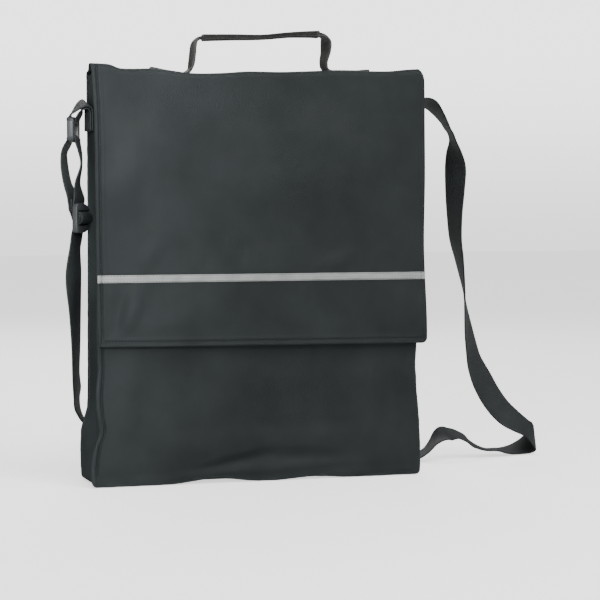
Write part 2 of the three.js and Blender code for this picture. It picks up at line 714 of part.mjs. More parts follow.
// Shoulder strap: sewn round the slider, up through the ring, back through the slider, down behind the bag
// along the floor, out at the right in a fold and up to the right side
function shoulderStrap() {
  const atSlider = ({ out, up }) => besideFitting(sliderMiddle, SLIDER.turn, out, up);
  const onRoute = ({ x, y, z, turn, tip }) => webbingAt(point(x, y, z), turn, tip);
  const runBelow = RUN_ABOVE.map(({ out, up }) => ({ out, up: -up })).reverse();
  const foldOut = STRAP_FOLD_OUT;
  const foldRadius = foldOut - GAP - WEBBING / 2;
  const sewn = (out, z) => webbingAt(point(rightFace + out, 0, z), 0);
  const foldIn = [70, 105, 140, 180].map((degrees) => {
    const angle = degToRad(degrees);
    return sewn(foldOut + foldRadius * Math.cos(angle), SEWN_HIGH + foldRadius * Math.sin(angle));
  });
  const tail = [0.87, 0.6, 0].map((part) => sewn(foldOut - foldRadius, lerp(SEWN_LOW, SEWN_HIGH, part)));
  return band(stationsAlong([
    ...SEWN_TAIL.map(atSlider),
    ...roundBar(sliderMiddle, SLIDER.turn, SEWN_WRAP, 0, 85, 340, 9),
    ...SEWN_LAYER.map(atSlider),
    ...OUTER_LAYER.map(onRoute),
    ...roundBar(ringMiddle, RING.turn, RING_WRAP, -ringBar, -15, 195, 7),
    ...INNER_LAYER.map(onRoute),
    ...RUN_ABOVE.map(atSlider),
    ...roundBar(sliderMiddle, SLIDER.turn, RUN_WRAP, 0, 95, 265, 6),
    ...runBelow.map(atSlider),
    ...STRAP_ROUTE.map(onRoute),
    ...foldIn,
    ...tail,
  ], STRAP_STEP));
}

const frontRelief = (x, z) => relief(FRONT_FOLDS, x, z);
const bag = new THREE.Group();
bag.add(
  mesh('front_panel', panel(front, FRONT_COLUMNS, () => 0, frontRelief), 'polyester'),
  mesh('back_panel', panel(back, BACK_COLUMNS, topSag, () => 0), 'polyester'),
  mesh('gusset', gusset(), 'gusset'),
  mesh('front_seam', seam(front), 'seam'),
  mesh('back_seam', seam(back), 'seam'),
  mesh('flap', flap(), 'polyester'),
  mesh('reflective_stripe', stripe(), 'reflective'),
  mesh('carry_handle', handle(), 'grip'),
  mesh('strap_tab', strapTab(), 'webbing'),
  mesh('strap_ring', strapRing(), 'plastic'),
  mesh('strap_slider', strapSlider(), 'plastic'),
  mesh('shoulder_strap', shoulderStrap(), 'webbing'),
);

export default bag;
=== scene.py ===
import bisect
import functools
import math
import bmesh
import bpy
from mathutils import Matrix, Vector, noise


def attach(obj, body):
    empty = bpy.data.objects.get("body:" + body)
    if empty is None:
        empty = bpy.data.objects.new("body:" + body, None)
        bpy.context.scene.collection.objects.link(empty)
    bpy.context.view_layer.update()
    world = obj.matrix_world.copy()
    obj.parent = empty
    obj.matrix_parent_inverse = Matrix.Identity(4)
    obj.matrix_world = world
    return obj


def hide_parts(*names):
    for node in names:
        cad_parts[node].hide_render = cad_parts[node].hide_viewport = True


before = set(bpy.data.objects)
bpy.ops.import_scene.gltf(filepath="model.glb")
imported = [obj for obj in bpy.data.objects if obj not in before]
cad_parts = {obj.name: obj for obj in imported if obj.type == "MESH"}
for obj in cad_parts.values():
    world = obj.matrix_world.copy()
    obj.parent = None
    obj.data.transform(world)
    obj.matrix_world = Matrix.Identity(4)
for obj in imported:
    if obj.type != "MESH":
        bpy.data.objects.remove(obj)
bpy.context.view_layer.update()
mm = 0.001
print("frame loaded:", len(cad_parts), "solids")


# small maths shared by the pieces, all in millimetres
def mix(a, b, t):
    return a + (b - a) * t


def evenly(start, end, steps):
    return [mix(start, end, i / steps) for i in range(steps + 1)]


def onCircle(degrees):  # cosine and sine
    return math.cos(math.radians(degrees)), math.sin(math.radians(degrees))


def ease(low, high, value):
    t = min(max((value - low) / (high - low), 0.0), 1.0)
    return t * t * (3 - 2 * t)


def hill(distance):  # 1 in the middle, 0 at a distance of 1
    return 0.5 + 0.5 * math.cos(math.pi * distance) if distance < 1 else 0.0


def ridge(distance, width):  # narrow smooth rib
    return math.exp(-(distance / width) ** 2)


def smoothColumn(rows, key, column):  # smooth value of one column of a table
    places = [row[key] for row in rows]
    values = [row[column] for row in rows]
    last = len(rows) - 1
    slopes = [0.0] * len(rows)
    for i in range(1, last):
        slopes[i] = (values[i + 1] - values[i - 1]) / (places[i + 1] - places[i - 1])
    for end, inner in ((0, 1), (last, last - 1)):
        secant = (values[inner] - values[end]) / (places[inner] - places[end])
        slopes[end] = 1.5 * secant - 0.5 * slopes[inner]

    def at(place):
        i = min(max(bisect.bisect_right(places, place) - 1, 0), last - 1)
        width = places[i + 1] - places[i]
        t = min(max((place - places[i]) / width, 0.0), 1.0)
        rise = values[i + 1] - values[i]
        a = slopes[i] * width - rise
        b = rise - slopes[i + 1] * width
        return values[i] + t * rise + t * (1 - t) * (a * (1 - t) + b * t)

    return at


def table(names, rows):  # rows of plain values, under the names of their columns
    return [dict(zip(names.split(), row)) for row in rows]


def softFolds(folds, x, z):  # height of a table of slanted folds at a place on the cloth
    total = 0.0
    for fold in folds:
        slide = x - fold["x"] - fold["lean"] * (z - fold["z"])
        above = z - fold["z"] - fold.get("rise", 0) * (x - fold["x"])
        total += fold["out"] * hill(math.hypot(slide / fold["wide"], above / fold["tall"]))
    return total


def rumple(x, z, size, seed):  # gentle unevenness of limp cloth, from -1 to 1
    return noise.noise(Vector((x / size, z / size, seed)))


# making meshes
def meshFrom(name, bm):
    mesh = bpy.data.meshes.new(name)
    bm.to_mesh(mesh)
    bm.free()
    return mesh


def putIn(name, data):  # a new object in the scene
    thing = bpy.data.objects.new(name, data)
    bpy.context.scene.collection.objects.link(thing)
    return thing


def keepPiece(name, bm, material, node=None):
    mesh = meshFrom(name, bm)
    mesh.polygons.foreach_set("use_smooth", [True] * len(mesh.polygons))
    mesh.materials.append(material)
    piece = putIn(name, mesh)
    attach(piece, "root")
    if node:
        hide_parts(node)
    return piece


def gridOver(columns, rows, surface, flatAt, closeRows=False):
    # a grid moved point by point onto surface(u, v); its UV map holds flatAt(u, v), in metres of flat cloth
    bm = bmesh.new()
    bmesh.ops.create_grid(bm, x_segments=columns, y_segments=rows, size=0.5)
    cloth = bm.loops.layers.uv.new("cloth")
    for vert in bm.verts:
        u = round((vert.co.x + 0.5) * columns) / columns
        v = round((vert.co.y + 0.5) * rows) / rows
        for loop in vert.link_loops:
            loop[cloth].uv = flatAt(u, v)
        vert.co = surface(u, v) * mm
    if closeRows:
        bmesh.ops.remove_doubles(bm, verts=bm.verts, dist=1e-6)
        rims = [edge for edge in bm.edges if edge.is_boundary]
        bmesh.ops.holes_fill(bm, edges=rims, sides=0)
        bmesh.ops.recalc_face_normals(bm, faces=bm.faces)
    return bm


def onSheet(width, height):
    return lambda u, v: (u * width, v * height)


def giveThickness(piece, thick, roundEdge):
    wall = piece.modifiers.new("cloth thickness", "SOLIDIFY")
    wall.thickness = thick * mm
    wall.offset = -1
    wall.use_even_offset = True
    edge = piece.modifiers.new("rolled edge", "BEVEL")
    edge.width = roundEdge * mm
    edge.segments = 2
    edge.limit_method = "ANGLE"
    edge.angle_limit = math.radians(50)


def spreadEvenly(t, crowd):  # crowds columns towards both ends
    return mix(t, 0.5 - 0.5 * math.cos(math.pi * t), crowd)


def smoothRoute(rows, step):
    # stations along a centripetal curve through rows of at, across, width, thick and slant
    places = [row["at"] for row in rows]
    turns = [row["across"] for row in rows]
    last = len(rows) - 1
    stations = []
    for i in range(last):
        p1, p2 = places[i], places[i + 1]
        p0 = places[i - 1] if i else p1 * 2 - p2
        p3 = places[i + 2] if i + 2 <= last else p2 * 2 - p1
        d0, d1, d2 = [max((b - a).length, 1e-4) ** 0.5 for a, b in ((p0, p1), (p1, p2), (p2, p3))]
        out1 = ((p1 - p0) / d0 - (p2 - p0) / (d0 + d1) + (p2 - p1) / d1) * d1
        out2 = ((p2 - p1) / d1 - (p3 - p1) / (d1 + d2) + (p3 - p2) / d2) * d1
        a0, a1, a2, a3 = [turns[min(max(i + k, 0), last)] for k in (-1, 0, 1, 2)]
        count = max(1, round((p2 - p1).length / step))
        for k in range(count + (i == last - 1)):
            t = k / count
            h1, h2 = 2 * t ** 3 - 3 * t ** 2 + 1, t ** 3 - 2 * t ** 2 + t
            h3, h4 = 3 * t ** 2 - 2 * t ** 3, t ** 3 - t ** 2
            stations.append({
                "at": p1 * h1 + out1 * h2 + p2 * h3 + out2 * h4,
                "across": a1 * h1 + (a2 - a0) * 0.5 * h2 + a2 * h3 + (a3 - a1) * 0.5 * h4,
                "width": mix(rows[i]["width"], rows[i + 1]["width"], t),
                "thick": mix(rows[i]["thick"], rows[i + 1]["thick"], t),
                "slant": mix(rows[i].get("slant", 0), rows[i + 1].get("slant", 0), t),
            })
    return squareUp(stations)


def squareUp(stations):
    # makes the direction across square to the run, unless it is slanted, and adds the facing and the length
    run = 0.0
    for i, station in enumerate(stations):
        before = stations[max(i - 1, 0)]["at"]
        after = stations[min(i + 1, len(stations) - 1)]["at"]
        along = (after - before).normalized()
        across = station["across"]
        squared = across.dot(along) * (1 - station.get("slant", 0))
        station["across"] = (across - along * squared).normalized()
        station["facing"] = along.cross(station["across"]).normalized()
        if i:
            run += (station["at"] - stations[i - 1]["at"]).length
        station["run"] = run
    return stations


def sweep(stations, section):
    # a closed tube through the stations; section(station) gives its (across, facing) offsets
    outlines = [section(station) for station in stations]
    sides = len(outlines[0])
    last = len(stations) - 1

    def spot(u, v):
        i = round(u * last)
        return stations[i], outlines[i][round(v * sides) % sides]

    def surface(u, v):
        station, (across, facing) = spot(u, v)
        return station["at"] + station["across"] * across + station["facing"] * facing

    def flatAt(u, v):
        station, (across, facing) = spot(u, v)
        return across * mm, station["run"] * mm

    return gridOver(last, sides, surface, flatAt, closeRows=True)


def webbingSection(station):
    # flat woven tape with rounded selvedges
    half, rise = station["width"] / 2, station["thick"] / 2
    side = half - rise
    flatPart = [-1, -0.85, -0.6, -0.3, 0, 0.3, 0.6, 0.85, 1]
    top = [(side * t, rise) for t in flatPart]
    edge = [(side + rise * s, rise * c) for c, s in map(onCircle, (45, 90, 135))]
    return top + edge + [(-x, -y) for x, y in top + edge]


def roundedSection(sides, squareness):
    def section(station):
        points = []
        for k in range(sides):
            angle = 2 * math.pi * k / sides
            c, s = math.cos(angle), math.sin(angle)
            x = math.copysign(abs(c) ** (2 / squareness), c) * station["width"] / 2
            y = math.copysign(abs(s) ** (2 / squareness), s) * station["thick"] / 2
            points.append((x, y))
        return points
    return section


# materials
def linear(hexColour):
    channels = [int(hexColour[i:i + 2], 16) / 255 for i in (1, 3, 5)]
    return tuple(c / 12.92 if c <= 0.04045 else ((c + 0.055) / 1.055) ** 2.4 for c in channels) + (1.0,)


def addNode(tree, kind, settings, links=None):
    # lower-case settings are the node's own properties, "ramp" its colours and the others its sockets;
    # a link from a whole node takes its first output
    node = tree.nodes.new("ShaderNode" + kind)
    for name, value in settings.items():
        if name == "ramp":
            for stop, (place, colour) in zip(node.color_ramp.elements, value):
                stop.position, stop.color = place, linear(colour)
        elif isinstance(name, str) and name[0].islower():
            setattr(node, name, value)
        else:
            node.inputs[name].default_value = value
    for name, source in (links or {}).items():
        output = source.outputs[0] if isinstance(source, bpy.types.Node) else source
        tree.links.new(output, node.inputs[name])
    return node


def emptyTree(owner):  # clears the nodes, and returns addNode for this tree
    owner.use_nodes = True
    owner.node_tree.nodes.clear()
    return functools.partial(addNode, owner.node_tree)


def newMaterial(name):
    material = bpy.data.materials.new(name)
    return material, emptyTree(material)


def wovenCloth(name, finish):
    material, add = newMaterial(name)
    cloth = add("UVMap", {"uv_map": "cloth"})
    parts = add("SeparateXYZ", {}, {0: cloth})
    waves = []
    for axis, spacing in (("X", finish["warp"]), ("Y", finish["weft"])):
        perMetre = 2 * math.pi / (spacing * mm)
        turns = add("Math", {"operation": "MULTIPLY", 1: perMetre}, {0: parts.outputs[axis]})
        waves.append(add("Math", {"operation": "SINE"}, {0: turns}))
    weave = add("Math", {"operation": "MULTIPLY"}, {0: waves[0], 1: waves[1]})
    place = add("TexCoord", {}).outputs["Object"]
    mottleScale, grainScale = 1 / (finish["mottle"] * mm), 1 / (finish["grain"] * mm)
    mottle = add("TexNoise", {"Scale": mottleScale, "Detail": 3.0, "Roughness": 0.55}, {"Vector": place})
    grain = add("TexNoise", {"Scale": grainScale, "Detail": 2.0}, {"Vector": place})
    colour = add("ValToRGB", {"ramp": ((0.32, finish["dark"]), (0.7, finish["light"]))}, {0: mottle})
    thread = add("MapRange", {
        "From Min": -1.0, "From Max": 1.0, "To Min": 1 - finish["contrast"], "To Max": 1 + finish["contrast"],
    }, {"Value": weave})
    tinted = add("VectorMath", {"operation": "SCALE"}, {0: colour, "Scale": thread})
    if "sleeve" in finish:  # darker between two lengths along the tape
        start, end, share = finish["sleeve"]
        half, fade = (end - start) / 2 * mm, 0.8 * mm
        middle = (start + end) / 2 * mm
        fromMiddle = add("Math", {"operation": "SUBTRACT", 1: middle}, {0: parts.outputs["Y"]})
        apart = add("Math", {"operation": "ABSOLUTE"}, {0: fromMiddle})
        shade = add("MapRange", {
            "From Min": half, "From Max": half + fade, "To Min": share, "To Max": 1.0}, {"Value": apart})
        tinted = add("VectorMath", {"operation": "SCALE"}, {0: tinted, "Scale": shade})
    height = add("Math", {"operation": "MULTIPLY_ADD", 1: 0.6}, {0: grain, 2: weave})
    bump = add("Bump", {"Strength": finish["bump"], "Distance": 0.25 * mm}, {"Height": height})
    spread = 0.06  # how far the grain moves the roughness
    smooth, dull = finish["rough"] - spread, finish["rough"] + spread
    rough = add("MapRange", {"To Min": smooth, "To Max": dull}, {"Value": grain})
    shader = add("BsdfPrincipled", {
        "Specular IOR Level": finish["gloss"], "IOR": 1.5, "Sheen Weight": finish["sheen"],
        "Sheen Roughness": 0.45, "Sheen Tint": linear(finish["light"]),
    }, {"Base Color": tinted, "Normal": bump, "Roughness": rough})
    add("OutputMaterial", {}, {"Surface": shader})
    return material


# coated 600D polyester, plain weave: dull and smooth, with a faint sheen from the coating;
# threads lie 0.5 mm apart and are drawn three times as coarse, so that they show
polyesterCloth = wovenCloth("coatedPolyester", {
    "dark": "#1f2324", "light": "#282c2d", "warp": 1.5, "weft": 1.5, "mottle": 60, "grain": 0.9,
    "contrast": 0.16, "bump": 0.22, "rough": 0.6, "gloss": 0.12, "sheen": 0.03})
# the same cloth on the sides, drier and without the sheen, and painted paler: painted light standing in for
# the light that falls on the sides
sideClothPaintedPaler = wovenCloth("coatedPolyesterSidePaintedLight", {
    "dark": "#2a2e2f", "light": "#34393a", "warp": 1.5, "weft": 1.5, "mottle": 50, "grain": 0.9,
    "contrast": 0.16, "bump": 0.22, "rough": 0.7, "gloss": 0.02, "sheen": 0.0})
# strips of the cloth rolled over the seams, painted a little paler: a painted highlight for the light their
# crests catch
rolledClothPaintedHighlight = wovenCloth("rolledPolyesterPaintedHighlight", {
    "dark": "#272b2c", "light": "#313637", "warp": 1.5, "weft": 1.5, "mottle": 40, "grain": 0.9,
    "contrast": 0.14, "bump": 0.16, "rough": 0.62, "gloss": 0.1, "sheen": 0.03})
# polypropylene strap webbing: ribs run along it and a finer beat runs across, with a dry, dark face
strapWebbing = wovenCloth("polypropyleneWebbing", {
    "dark": "#212425", "light": "#2b2f30", "warp": 2.6, "weft": 1.7, "mottle": 45, "grain": 0.8,
    "contrast": 0.28, "bump": 0.5, "rough": 0.62, "gloss": 0.2, "sheen": 0.05})
# the handle's webbing, denser and lightly worn by the hand; a sleeve of darker cloth wraps its grip
handleWebbing = wovenCloth("handleWebbing", {
    "dark": "#343433", "light": "#4a4a48", "warp": 2.2, "weft": 1.5, "mottle": 30, "grain": 0.7,
    "contrast": 0.28, "bump": 0.45, "rough": 0.58, "gloss": 0.2, "sheen": 0.05, "sleeve": (72, 186, 0.36)})
# spun polyester sewing thread, dark, with a soft twist
sewingThread = wovenCloth("sewingThread", {
    "dark": "#212424", "light": "#2d3030", "warp": 0.5, "weft": 0.5, "mottle": 10, "grain": 0.4,
    "contrast": 0.1, "bump": 0.2, "rough": 0.5, "gloss": 0.4, "sheen": 0.1})


def reflectiveTape():
    # silver-grey retroreflective tape: a smooth, even, satin face of glass beads, darker along its middle
    finish = {"face": "#919492", "shade": "#828584", "line": "#696d6d", "bead": 0.8, "cloud": 14,
              "halfWidth": 3.5, "lineWidth": 0.45, "lineShare": 0.45}
    material, add = newMaterial("glassBeadTape")
    cloth = add("UVMap", {"uv_map": "cloth"})
    parts = add("SeparateXYZ", {}, {0: cloth})
    place = add("TexCoord", {}).outputs["Object"]
    beads = add("TexVoronoi", {"Scale": 1 / (finish["bead"] * mm)}, {"Vector": place})
    cloudy = add("TexNoise", {"Scale": 1 / (finish["cloud"] * mm), "Detail": 3.0}, {"Vector": place})
    tone = add("ValToRGB", {"ramp": ((0.35, finish["shade"]), (0.65, finish["face"]))}, {0: cloudy})
    middle = finish["halfWidth"] * mm
    fromMiddle = add("Math", {"operation": "SUBTRACT", 1: middle}, {0: parts.outputs["Y"]})
    apart = add("Math", {"operation": "ABSOLUTE"}, {0: fromMiddle})
    onLine = add("MapRange", {
        "From Min": 0.0, "From Max": finish["lineWidth"] * mm, "To Min": finish["lineShare"], "To Max": 0.0,
    }, {"Value": apart})
    mixed = add("Mix", {"data_type": "RGBA", 7: linear(finish["line"])}, {0: onLine, 6: tone})
    bump = add("Bump", {"Strength": 0.12, "Distance": 0.2 * mm}, {"Height": beads})
    shader = add("BsdfPrincipled", {"Roughness": 0.42, "Specular IOR Level": 0.45},
                 {"Base Color": mixed.outputs[2], "Normal": bump})
    add("OutputMaterial", {}, {"Surface": shader})
    return material


def mouldedAcetal():
    # black acetal from a spark-eroded mould: a satin face with a fine grain and faint clouds
    finish = {"dark": "#25282a", "light": "#323638", "grain": 0.5, "cloud": 9, "smooth": 0.42, "dull": 0.56}
    material, add = newMaterial("mouldedAcetal")
    place = add("TexCoord", {}).outputs["Object"]
    grain = add("TexNoise", {"Scale": 1 / (finish["grain"] * mm), "Detail": 2.0}, {"Vector": place})
    cloud = add("TexNoise", {"Scale": 1 / (finish["cloud"] * mm), "Detail": 3.0}, {"Vector": place})
    tone = add("ValToRGB", {"ramp": ((0.0, finish["dark"]), (1.0, finish["light"]))}, {0: cloud})
    rough = add("MapRange", {"To Min": finish["smooth"], "To Max": finish["dull"]}, {"Value": grain})
    bump = add("Bump", {"Strength": 0.1, "Distance": 0.1 * mm}, {"Height": grain})
    shader = add("BsdfPrincipled", {"IOR": 1.48}, {"Base Color": tone, "Roughness": rough, "Normal": bump})
    add("OutputMaterial", {}, {"Surface": shader})
    return material


tapeMaterial = reflectiveTape()
plasticMaterial = mouldedAcetal()
print("materials made:", len(bpy.data.materials))


# body of the bag
bodySections = table("z halfDepth frontLeft backLeft right", [
    (0, 35, -162, -158, 154), (20, 35, -163, -159, 154.3), (37, 34.5, -160, -159, 154),
    (50, 33.5, -155.5, -158, 153.7), (66, 32, -157, -153.5, 153), (83, 30, -157.5, -153, 152.3),
    (104, 28.2, -155.5, -153.2, 151.9), (122, 27, -155.5, -153.4, 153.2),
    (140, 26, -155.5, -153.5, 152.8), (220, 23, -155, -153.8, 152.5), (370, 19, -155.5, -155, 153.5),
])
sideFolds = table("z inwards", [
    (0, 0), (9, 0.5), (40, 4.5), (90, 6), (200, 8), (285, 4.5), (312, 0.6), (322, 0), (370, 0),
])
topSags = table("x drop", [
    (-160, 0), (-149, 0.2), (-141, 0.8), (-131, 4.2), (-98, 4.0), (-66, 7.4), (-37, 6.8), (-13, 5),
    (21, 4.8), (68, 2.7), (89, 2.5), (125, 2.4), (145, 0.6), (163, -0.6),
])
body = {
    "cloth": 1.3, "seamRadius": 2.0, "seamProud": 0.8, "cornerRadius": 4.5, "edgeRound": 0.3,
    "baseLifts": table("x wide lift", [
        (-47, 46, 4), (48, 40, 2),
    ]),
}
halfDepth = smoothColumn(bodySections, "z", "halfDepth")
rightEdge = smoothColumn(bodySections, "z", "right")
sideFold = smoothColumn(sideFolds, "z", "inwards")
topSag = smoothColumn(topSags, "x", "drop")


def baseLift(x):
    return sum(row["lift"] * hill(abs(x - row["x"]) / row["wide"]) for row in body["baseLifts"])


frontLeft = smoothColumn(bodySections, "z", "frontLeft")
backLeft = smoothColumn(bodySections, "z", "backLeft")
frontFace = {"toBack": 1, "mouth": 362, "left": frontLeft, "lift": baseLift}
backFace = {"toBack": -1, "mouth": 369, "left": backLeft, "lift": lambda x: 0}


def outline(face, sideSteps, cornerSteps, baseSteps):
    # U-shaped edge of a panel, from its left mouth corner round the base to the right one
    radius = body["cornerRadius"]
    left = face["left"](radius) + radius
    right = rightEdge(radius) - radius
    stations = []

    def add(x, z, inX, inZ):
        place = Vector((x, -face["toBack"] * halfDepth(z), z))
        stations.append({"at": place, "inwards": Vector((inX, 0, inZ))})

    heights = [mix(radius, face["mouth"], t ** 1.2) for t in evenly(0, 1, sideSteps)]
    corner = [onCircle(angle) for angle in evenly(0, 90, cornerSteps)]
    for z in reversed(heights[1:]):
        add(face["left"](z), z, 1, 0)
    for c, s in corner[:-1]:
        add(left - radius * c, radius - radius * s, c, s)
    for x in evenly(left, right, baseSteps):
        add(x, face["lift"](x), 0, 1)
    for c, s in corner[1:]:
        add(right + radius * s, radius - radius * c, -s, c)
    for z in heights[1:]:
        add(rightEdge(z), z, -1, 0)
    return stations


panelLook = {
    "columns": 150, "rows": 120, "crowd": 0.8, "lowRows": 1.2, "rumple": 0.8, "rumpleSize": 45,
    "backRumple": 0.9, "backRumpleSize": 70,
    "pipingRib": 0.7, "ribAt": 0.6, "ribWide": 1.3, "pipingGroove": 1.9, "grooveAt": 3.0, "grooveWide": 1.0,
    "folds": table("x z wide tall lean rise out", [
        (-132, 78, 22, 58, 0.05, 0, 3.6), (-88, 84, 44, 56, 0, 0, -3.4),
        (-28, 19, 48, 8.5, 0, 0.2, -4.0), (30, 23.5, 58, 10, 0, -0.06, -2.0),
        (0, 11, 122, 9, 0, 0.05, 1.8), (20, 36, 130, 20, 0, 0, 2.2), (124, 76, 22, 52, 0, 0, -4.6),
        (92, 70, 44, 56, 0, 0, 1.8), (-140, 22, 34, 24, 0.3, 0, 2.2),
    ]),
}


def panelSurface(face, sagAt, reliefAt):
    look = panelLook
    inset = body["seamRadius"]
    cornerRadius = body["cornerRadius"] - inset

    def surface(u, v):
        across = u if face["toBack"] > 0 else 1 - u
        part = spreadEvenly(across, look["crowd"])
        width = rightEdge(0) - face["left"](0) - 2 * inset
        reach = max(cornerRadius - min(part, 1 - part) * width, 0)
        bow = cornerRadius - math.sqrt(max(cornerRadius ** 2 - reach ** 2, 0))
        baseX = mix(face["left"](0) + inset, rightEdge(0) - inset, part)
        low = inset + face["lift"](baseX) + bow
        z = mix(low, face["mouth"] - sagAt(baseX), v ** look["lowRows"])
        left, right = face["left"](z) + inset, rightEdge(z) - inset
        x = mix(left, right, part)
        toEdge = min(x - left, right - x, z - low)
        depth = halfDepth(z) - body["seamProud"] * ease(0, 9, toEdge)
        depth += reliefAt(x, z) * ease(0, 8, toEdge)
        shown = ease(3, 14, z - low)  # the piping beside the left seam fades out at the base
        depth += look["pipingRib"] * ridge(x - left - look["ribAt"], look["ribWide"]) * shown
        depth -= look["pipingGroove"] * ridge(x - left - look["grooveAt"], look["grooveWide"]) * shown
        return Vector((x, -face["toBack"] * depth, z))

    return surface


def frontRelief(x, z):
    under = 1 - ease(110, 140, z)  # smooth where the flap lies on it
    uneven = panelLook["rumple"] * rumple(x, z, panelLook["rumpleSize"], 3.1)
    return under * (softFolds(panelLook["folds"], x, z) + uneven)


def backRelief(x, z):
    return panelLook["backRumple"] * (rumple(x, z, panelLook["backRumpleSize"], 7.7) - 1)


def buildPanels():
    frontSurface = panelSurface(frontFace, lambda x: 0.0, frontRelief)
    backSurface = panelSurface(backFace, topSag, backRelief)
    panels = (("frontPanel", "front_panel", frontSurface, (0.308, 0.358)),
              ("backPanel", "back_panel", backSurface, (0.305, 0.364)))
    for name, node, surface, flat in panels:
        bm = gridOver(panelLook["columns"], panelLook["rows"], surface, onSheet(*flat))
        piece = keepPiece(name, bm, polyesterCloth, node)
        giveThickness(piece, body["cloth"], body["edgeRound"])
    print("panels sewn")


buildPanels()


gussetLook = {
    "rows": 32, "steps": (90, 8, 70), "creaseSharpness": 1.05,
    "frontTuck": 376.5, "backTuck": 371.5, "ripple": 0.5, "rippleSize": 26,
    "seamSteps": (110, 10, 100), "seamSides": 12, "seamSquareness": 2.2, "pinch": 0.16, "pinchSize": 7,
    "crease": table("z share", [
        (0, 0.72), (22, 0.62), (50, 0.4), (78, 0.2), (105, 0.26), (140, 0.5), (370, 0.5),
    ]),
    "extra": table("z by", [
        (0, 0), (14, 2.6), (40, 2.2), (66, 1.8), (100, 1.2), (180, 0), (370, 0),
    ]),
}
extraFold = smoothColumn(gussetLook["extra"], "z", "by")
creaseShare = smoothColumn(gussetLook["crease"], "z", "share")  # from the back seam to the front one


def buildGusset():
    look = gussetLook
    fronts = outline({**frontFace, "mouth": look["frontTuck"]}, *look["steps"])
    backs = outline({**backFace, "mouth": look["backTuck"]}, *look["steps"])
    last = len(fronts) - 1

    def surface(u, v):
        i = round(u * last)
        frontAt, backAt, inwards = fronts[i]["at"], backs[i]["at"], fronts[i]["inwards"]
        upright = 1 - inwards.z  # 1 on the sides, 0 along the base
        share = mix(ease(0.6, 1, v), v, upright)
        place = backAt.lerp(frontAt, share)
        place.y = mix(backAt.y - body["seamRadius"], frontAt.y + body["seamRadius"], v)
        creaseAt = creaseShare(place.z)
        reach = 1 - creaseAt if v > creaseAt else creaseAt
        crease = 1 - (abs(v - creaseAt) / reach) ** look["creaseSharpness"]
        fold = max(sideFold(place.z) + extraFold(place.z), 0) * crease
        uneven = rumple(place.y, place.z, look["rippleSize"], 1.7) * math.sin(math.pi * v)
        uneven *= ease(60, 80, place.z) * ease(0, 2, max(sideFold(place.z), 0))
        fold += look["ripple"] * uneven
        return place + inwards * ((body["seamProud"] + fold) * upright)

    bm = gridOver(last, look["rows"], surface, onSheet(1.02, 0.062))
    piece = keepPiece("sideAndBase", bm, sideClothPaintedPaler, "gusset")
    giveThickness(piece, body["cloth"], body["edgeRound"])
    seams = (("frontRolledSeam", "front_seam", frontFace), ("backRolledSeam", "back_seam", backFace))
    for name, node, face in seams:
        stations = []
        for spot in outline(face, *look["seamSteps"]):
            middle = spot["at"] + spot["inwards"] * body["seamRadius"]
            middle.y += face["toBack"] * body["seamRadius"]
            pinch = look["pinch"] * rumple(middle.x + middle.z, middle.z, look["pinchSize"], 2.2)
            size = 2 * body["seamRadius"] * (1 + pinch)
            stations.append({"at": middle, "across": spot["inwards"], "width": size, "thick": size})
        squareUp(stations)
        bm = sweep(stations, roundedSection(look["seamSides"], look["seamSquareness"]))
        keepPiece(name, bm, rolledClothPaintedHighlight, node)
    print("sides, base and rolled seams sewn")


buildGusset()


# rows of short raised stitches, and how far they lie from the edges
stitchLook = {
    "pitch": 3.0, "long": 2.3, "wide": 0.5, "high": 0.28, "raised": 0.1, "batch": 25, "boxInset": 3,
    "hemTop": 366, "hemTurn": 131.2, "stripeOff": 2.6, "stripeEnds": 2, "backRows": (4.6, 9.0),
    "backEnds": (-150, 153),
}


# flap: sewn to the back, folded over the top and hanging down the front
flapLook = {
    "top": 382.8, "foldRadius": 6.0, "slope": 6.0, "sewnEdge": 350.0, "backInset": 4.0,
    "cloth": 2.0, "showing": 1.4, "gap": 0.3, "edgeRound": 0.5,
    "columns": 170, "crowd": 0.8, "hang": 165, "lowRows": 0.7, "fold": 8, "over": 22, "sewn": 22,
    "hemLeft": 126.5, "hemRight": 124.3, "hemStart": -156, "hemSpan": 318, "hemCorner": 5.0,
    "hemLean": 4.0, "leftLean": 0.3, "leanHeight": 96.0, "crown": 1.5,
    "hemRoll": 1.15, "baseRoll": 1.5, "rollAt": (1.5, 2.0), "rollWide": 1.5, "rightHem": 0.12,
    "baseGroove": 0.35, "sideGroove": 1.3, "baseInset": 4.3, "sideInset": 4.5, "grooveWide": 0.8,
    "swell": 0.45, "swellAt": 2.6, "swellWide": 1.7,
    "rumple": 0.9, "rumpleSize": 52, "foldGain": 1.9, "deepest": -1.5, "topCalm": 0.7, "topWave": 0.5,
    "edges": table("z left right", [
        (124, -156, 160.5), (136, -156, 161.4), (160, -156, 161.4), (220, -156, 160.7),
        (280, -156.1, 162.2), (335, -156.4, 162.3), (364, -157.8, 162.3), (375, -158.5, 161.6),
        (384, -159.2, 157),
    ]),
    "folds": table("x z wide tall lean out", [
        (-125, 158, 13, 34, 0.27, 1.9), (-138, 158, 11, 36, 0.25, -0.9), (-101, 170, 15, 30, 0.2, -0.9),
        (-84, 148, 24, 24, 0.5, 1.0), (-28, 172, 11, 30, 0, 0.8), (9, 140, 16, 18, 0, -0.8),
        (58, 164, 20, 28, -0.1, -0.8), (115, 158, 17, 44, 0, 1.6), (-104, 212, 16, 26, 0.5, 1.2),
        (-50, 212, 11, 24, 0.1, -1.0), (-33, 214, 9, 22, 0.1, 0.9), (-16, 212, 10, 22, 0.1, -0.9),
        (77, 204, 24, 16, 1.2, 1.0), (95, 210, 12, 26, 0.2, -0.8), (-140, 305, 22, 30, 0, -0.9),
        (-121, 294, 18, 42, 0.1, 1.0), (-110, 258, 16, 36, 0, -0.9), (-83, 285, 26, 56, 0, 0.9),
        (84, 290, 70, 80, 0, 1.0), (20, 300, 40, 70, 0, -0.6),
    ]),
}
flapLeft = smoothColumn(flapLook["edges"], "z", "left")
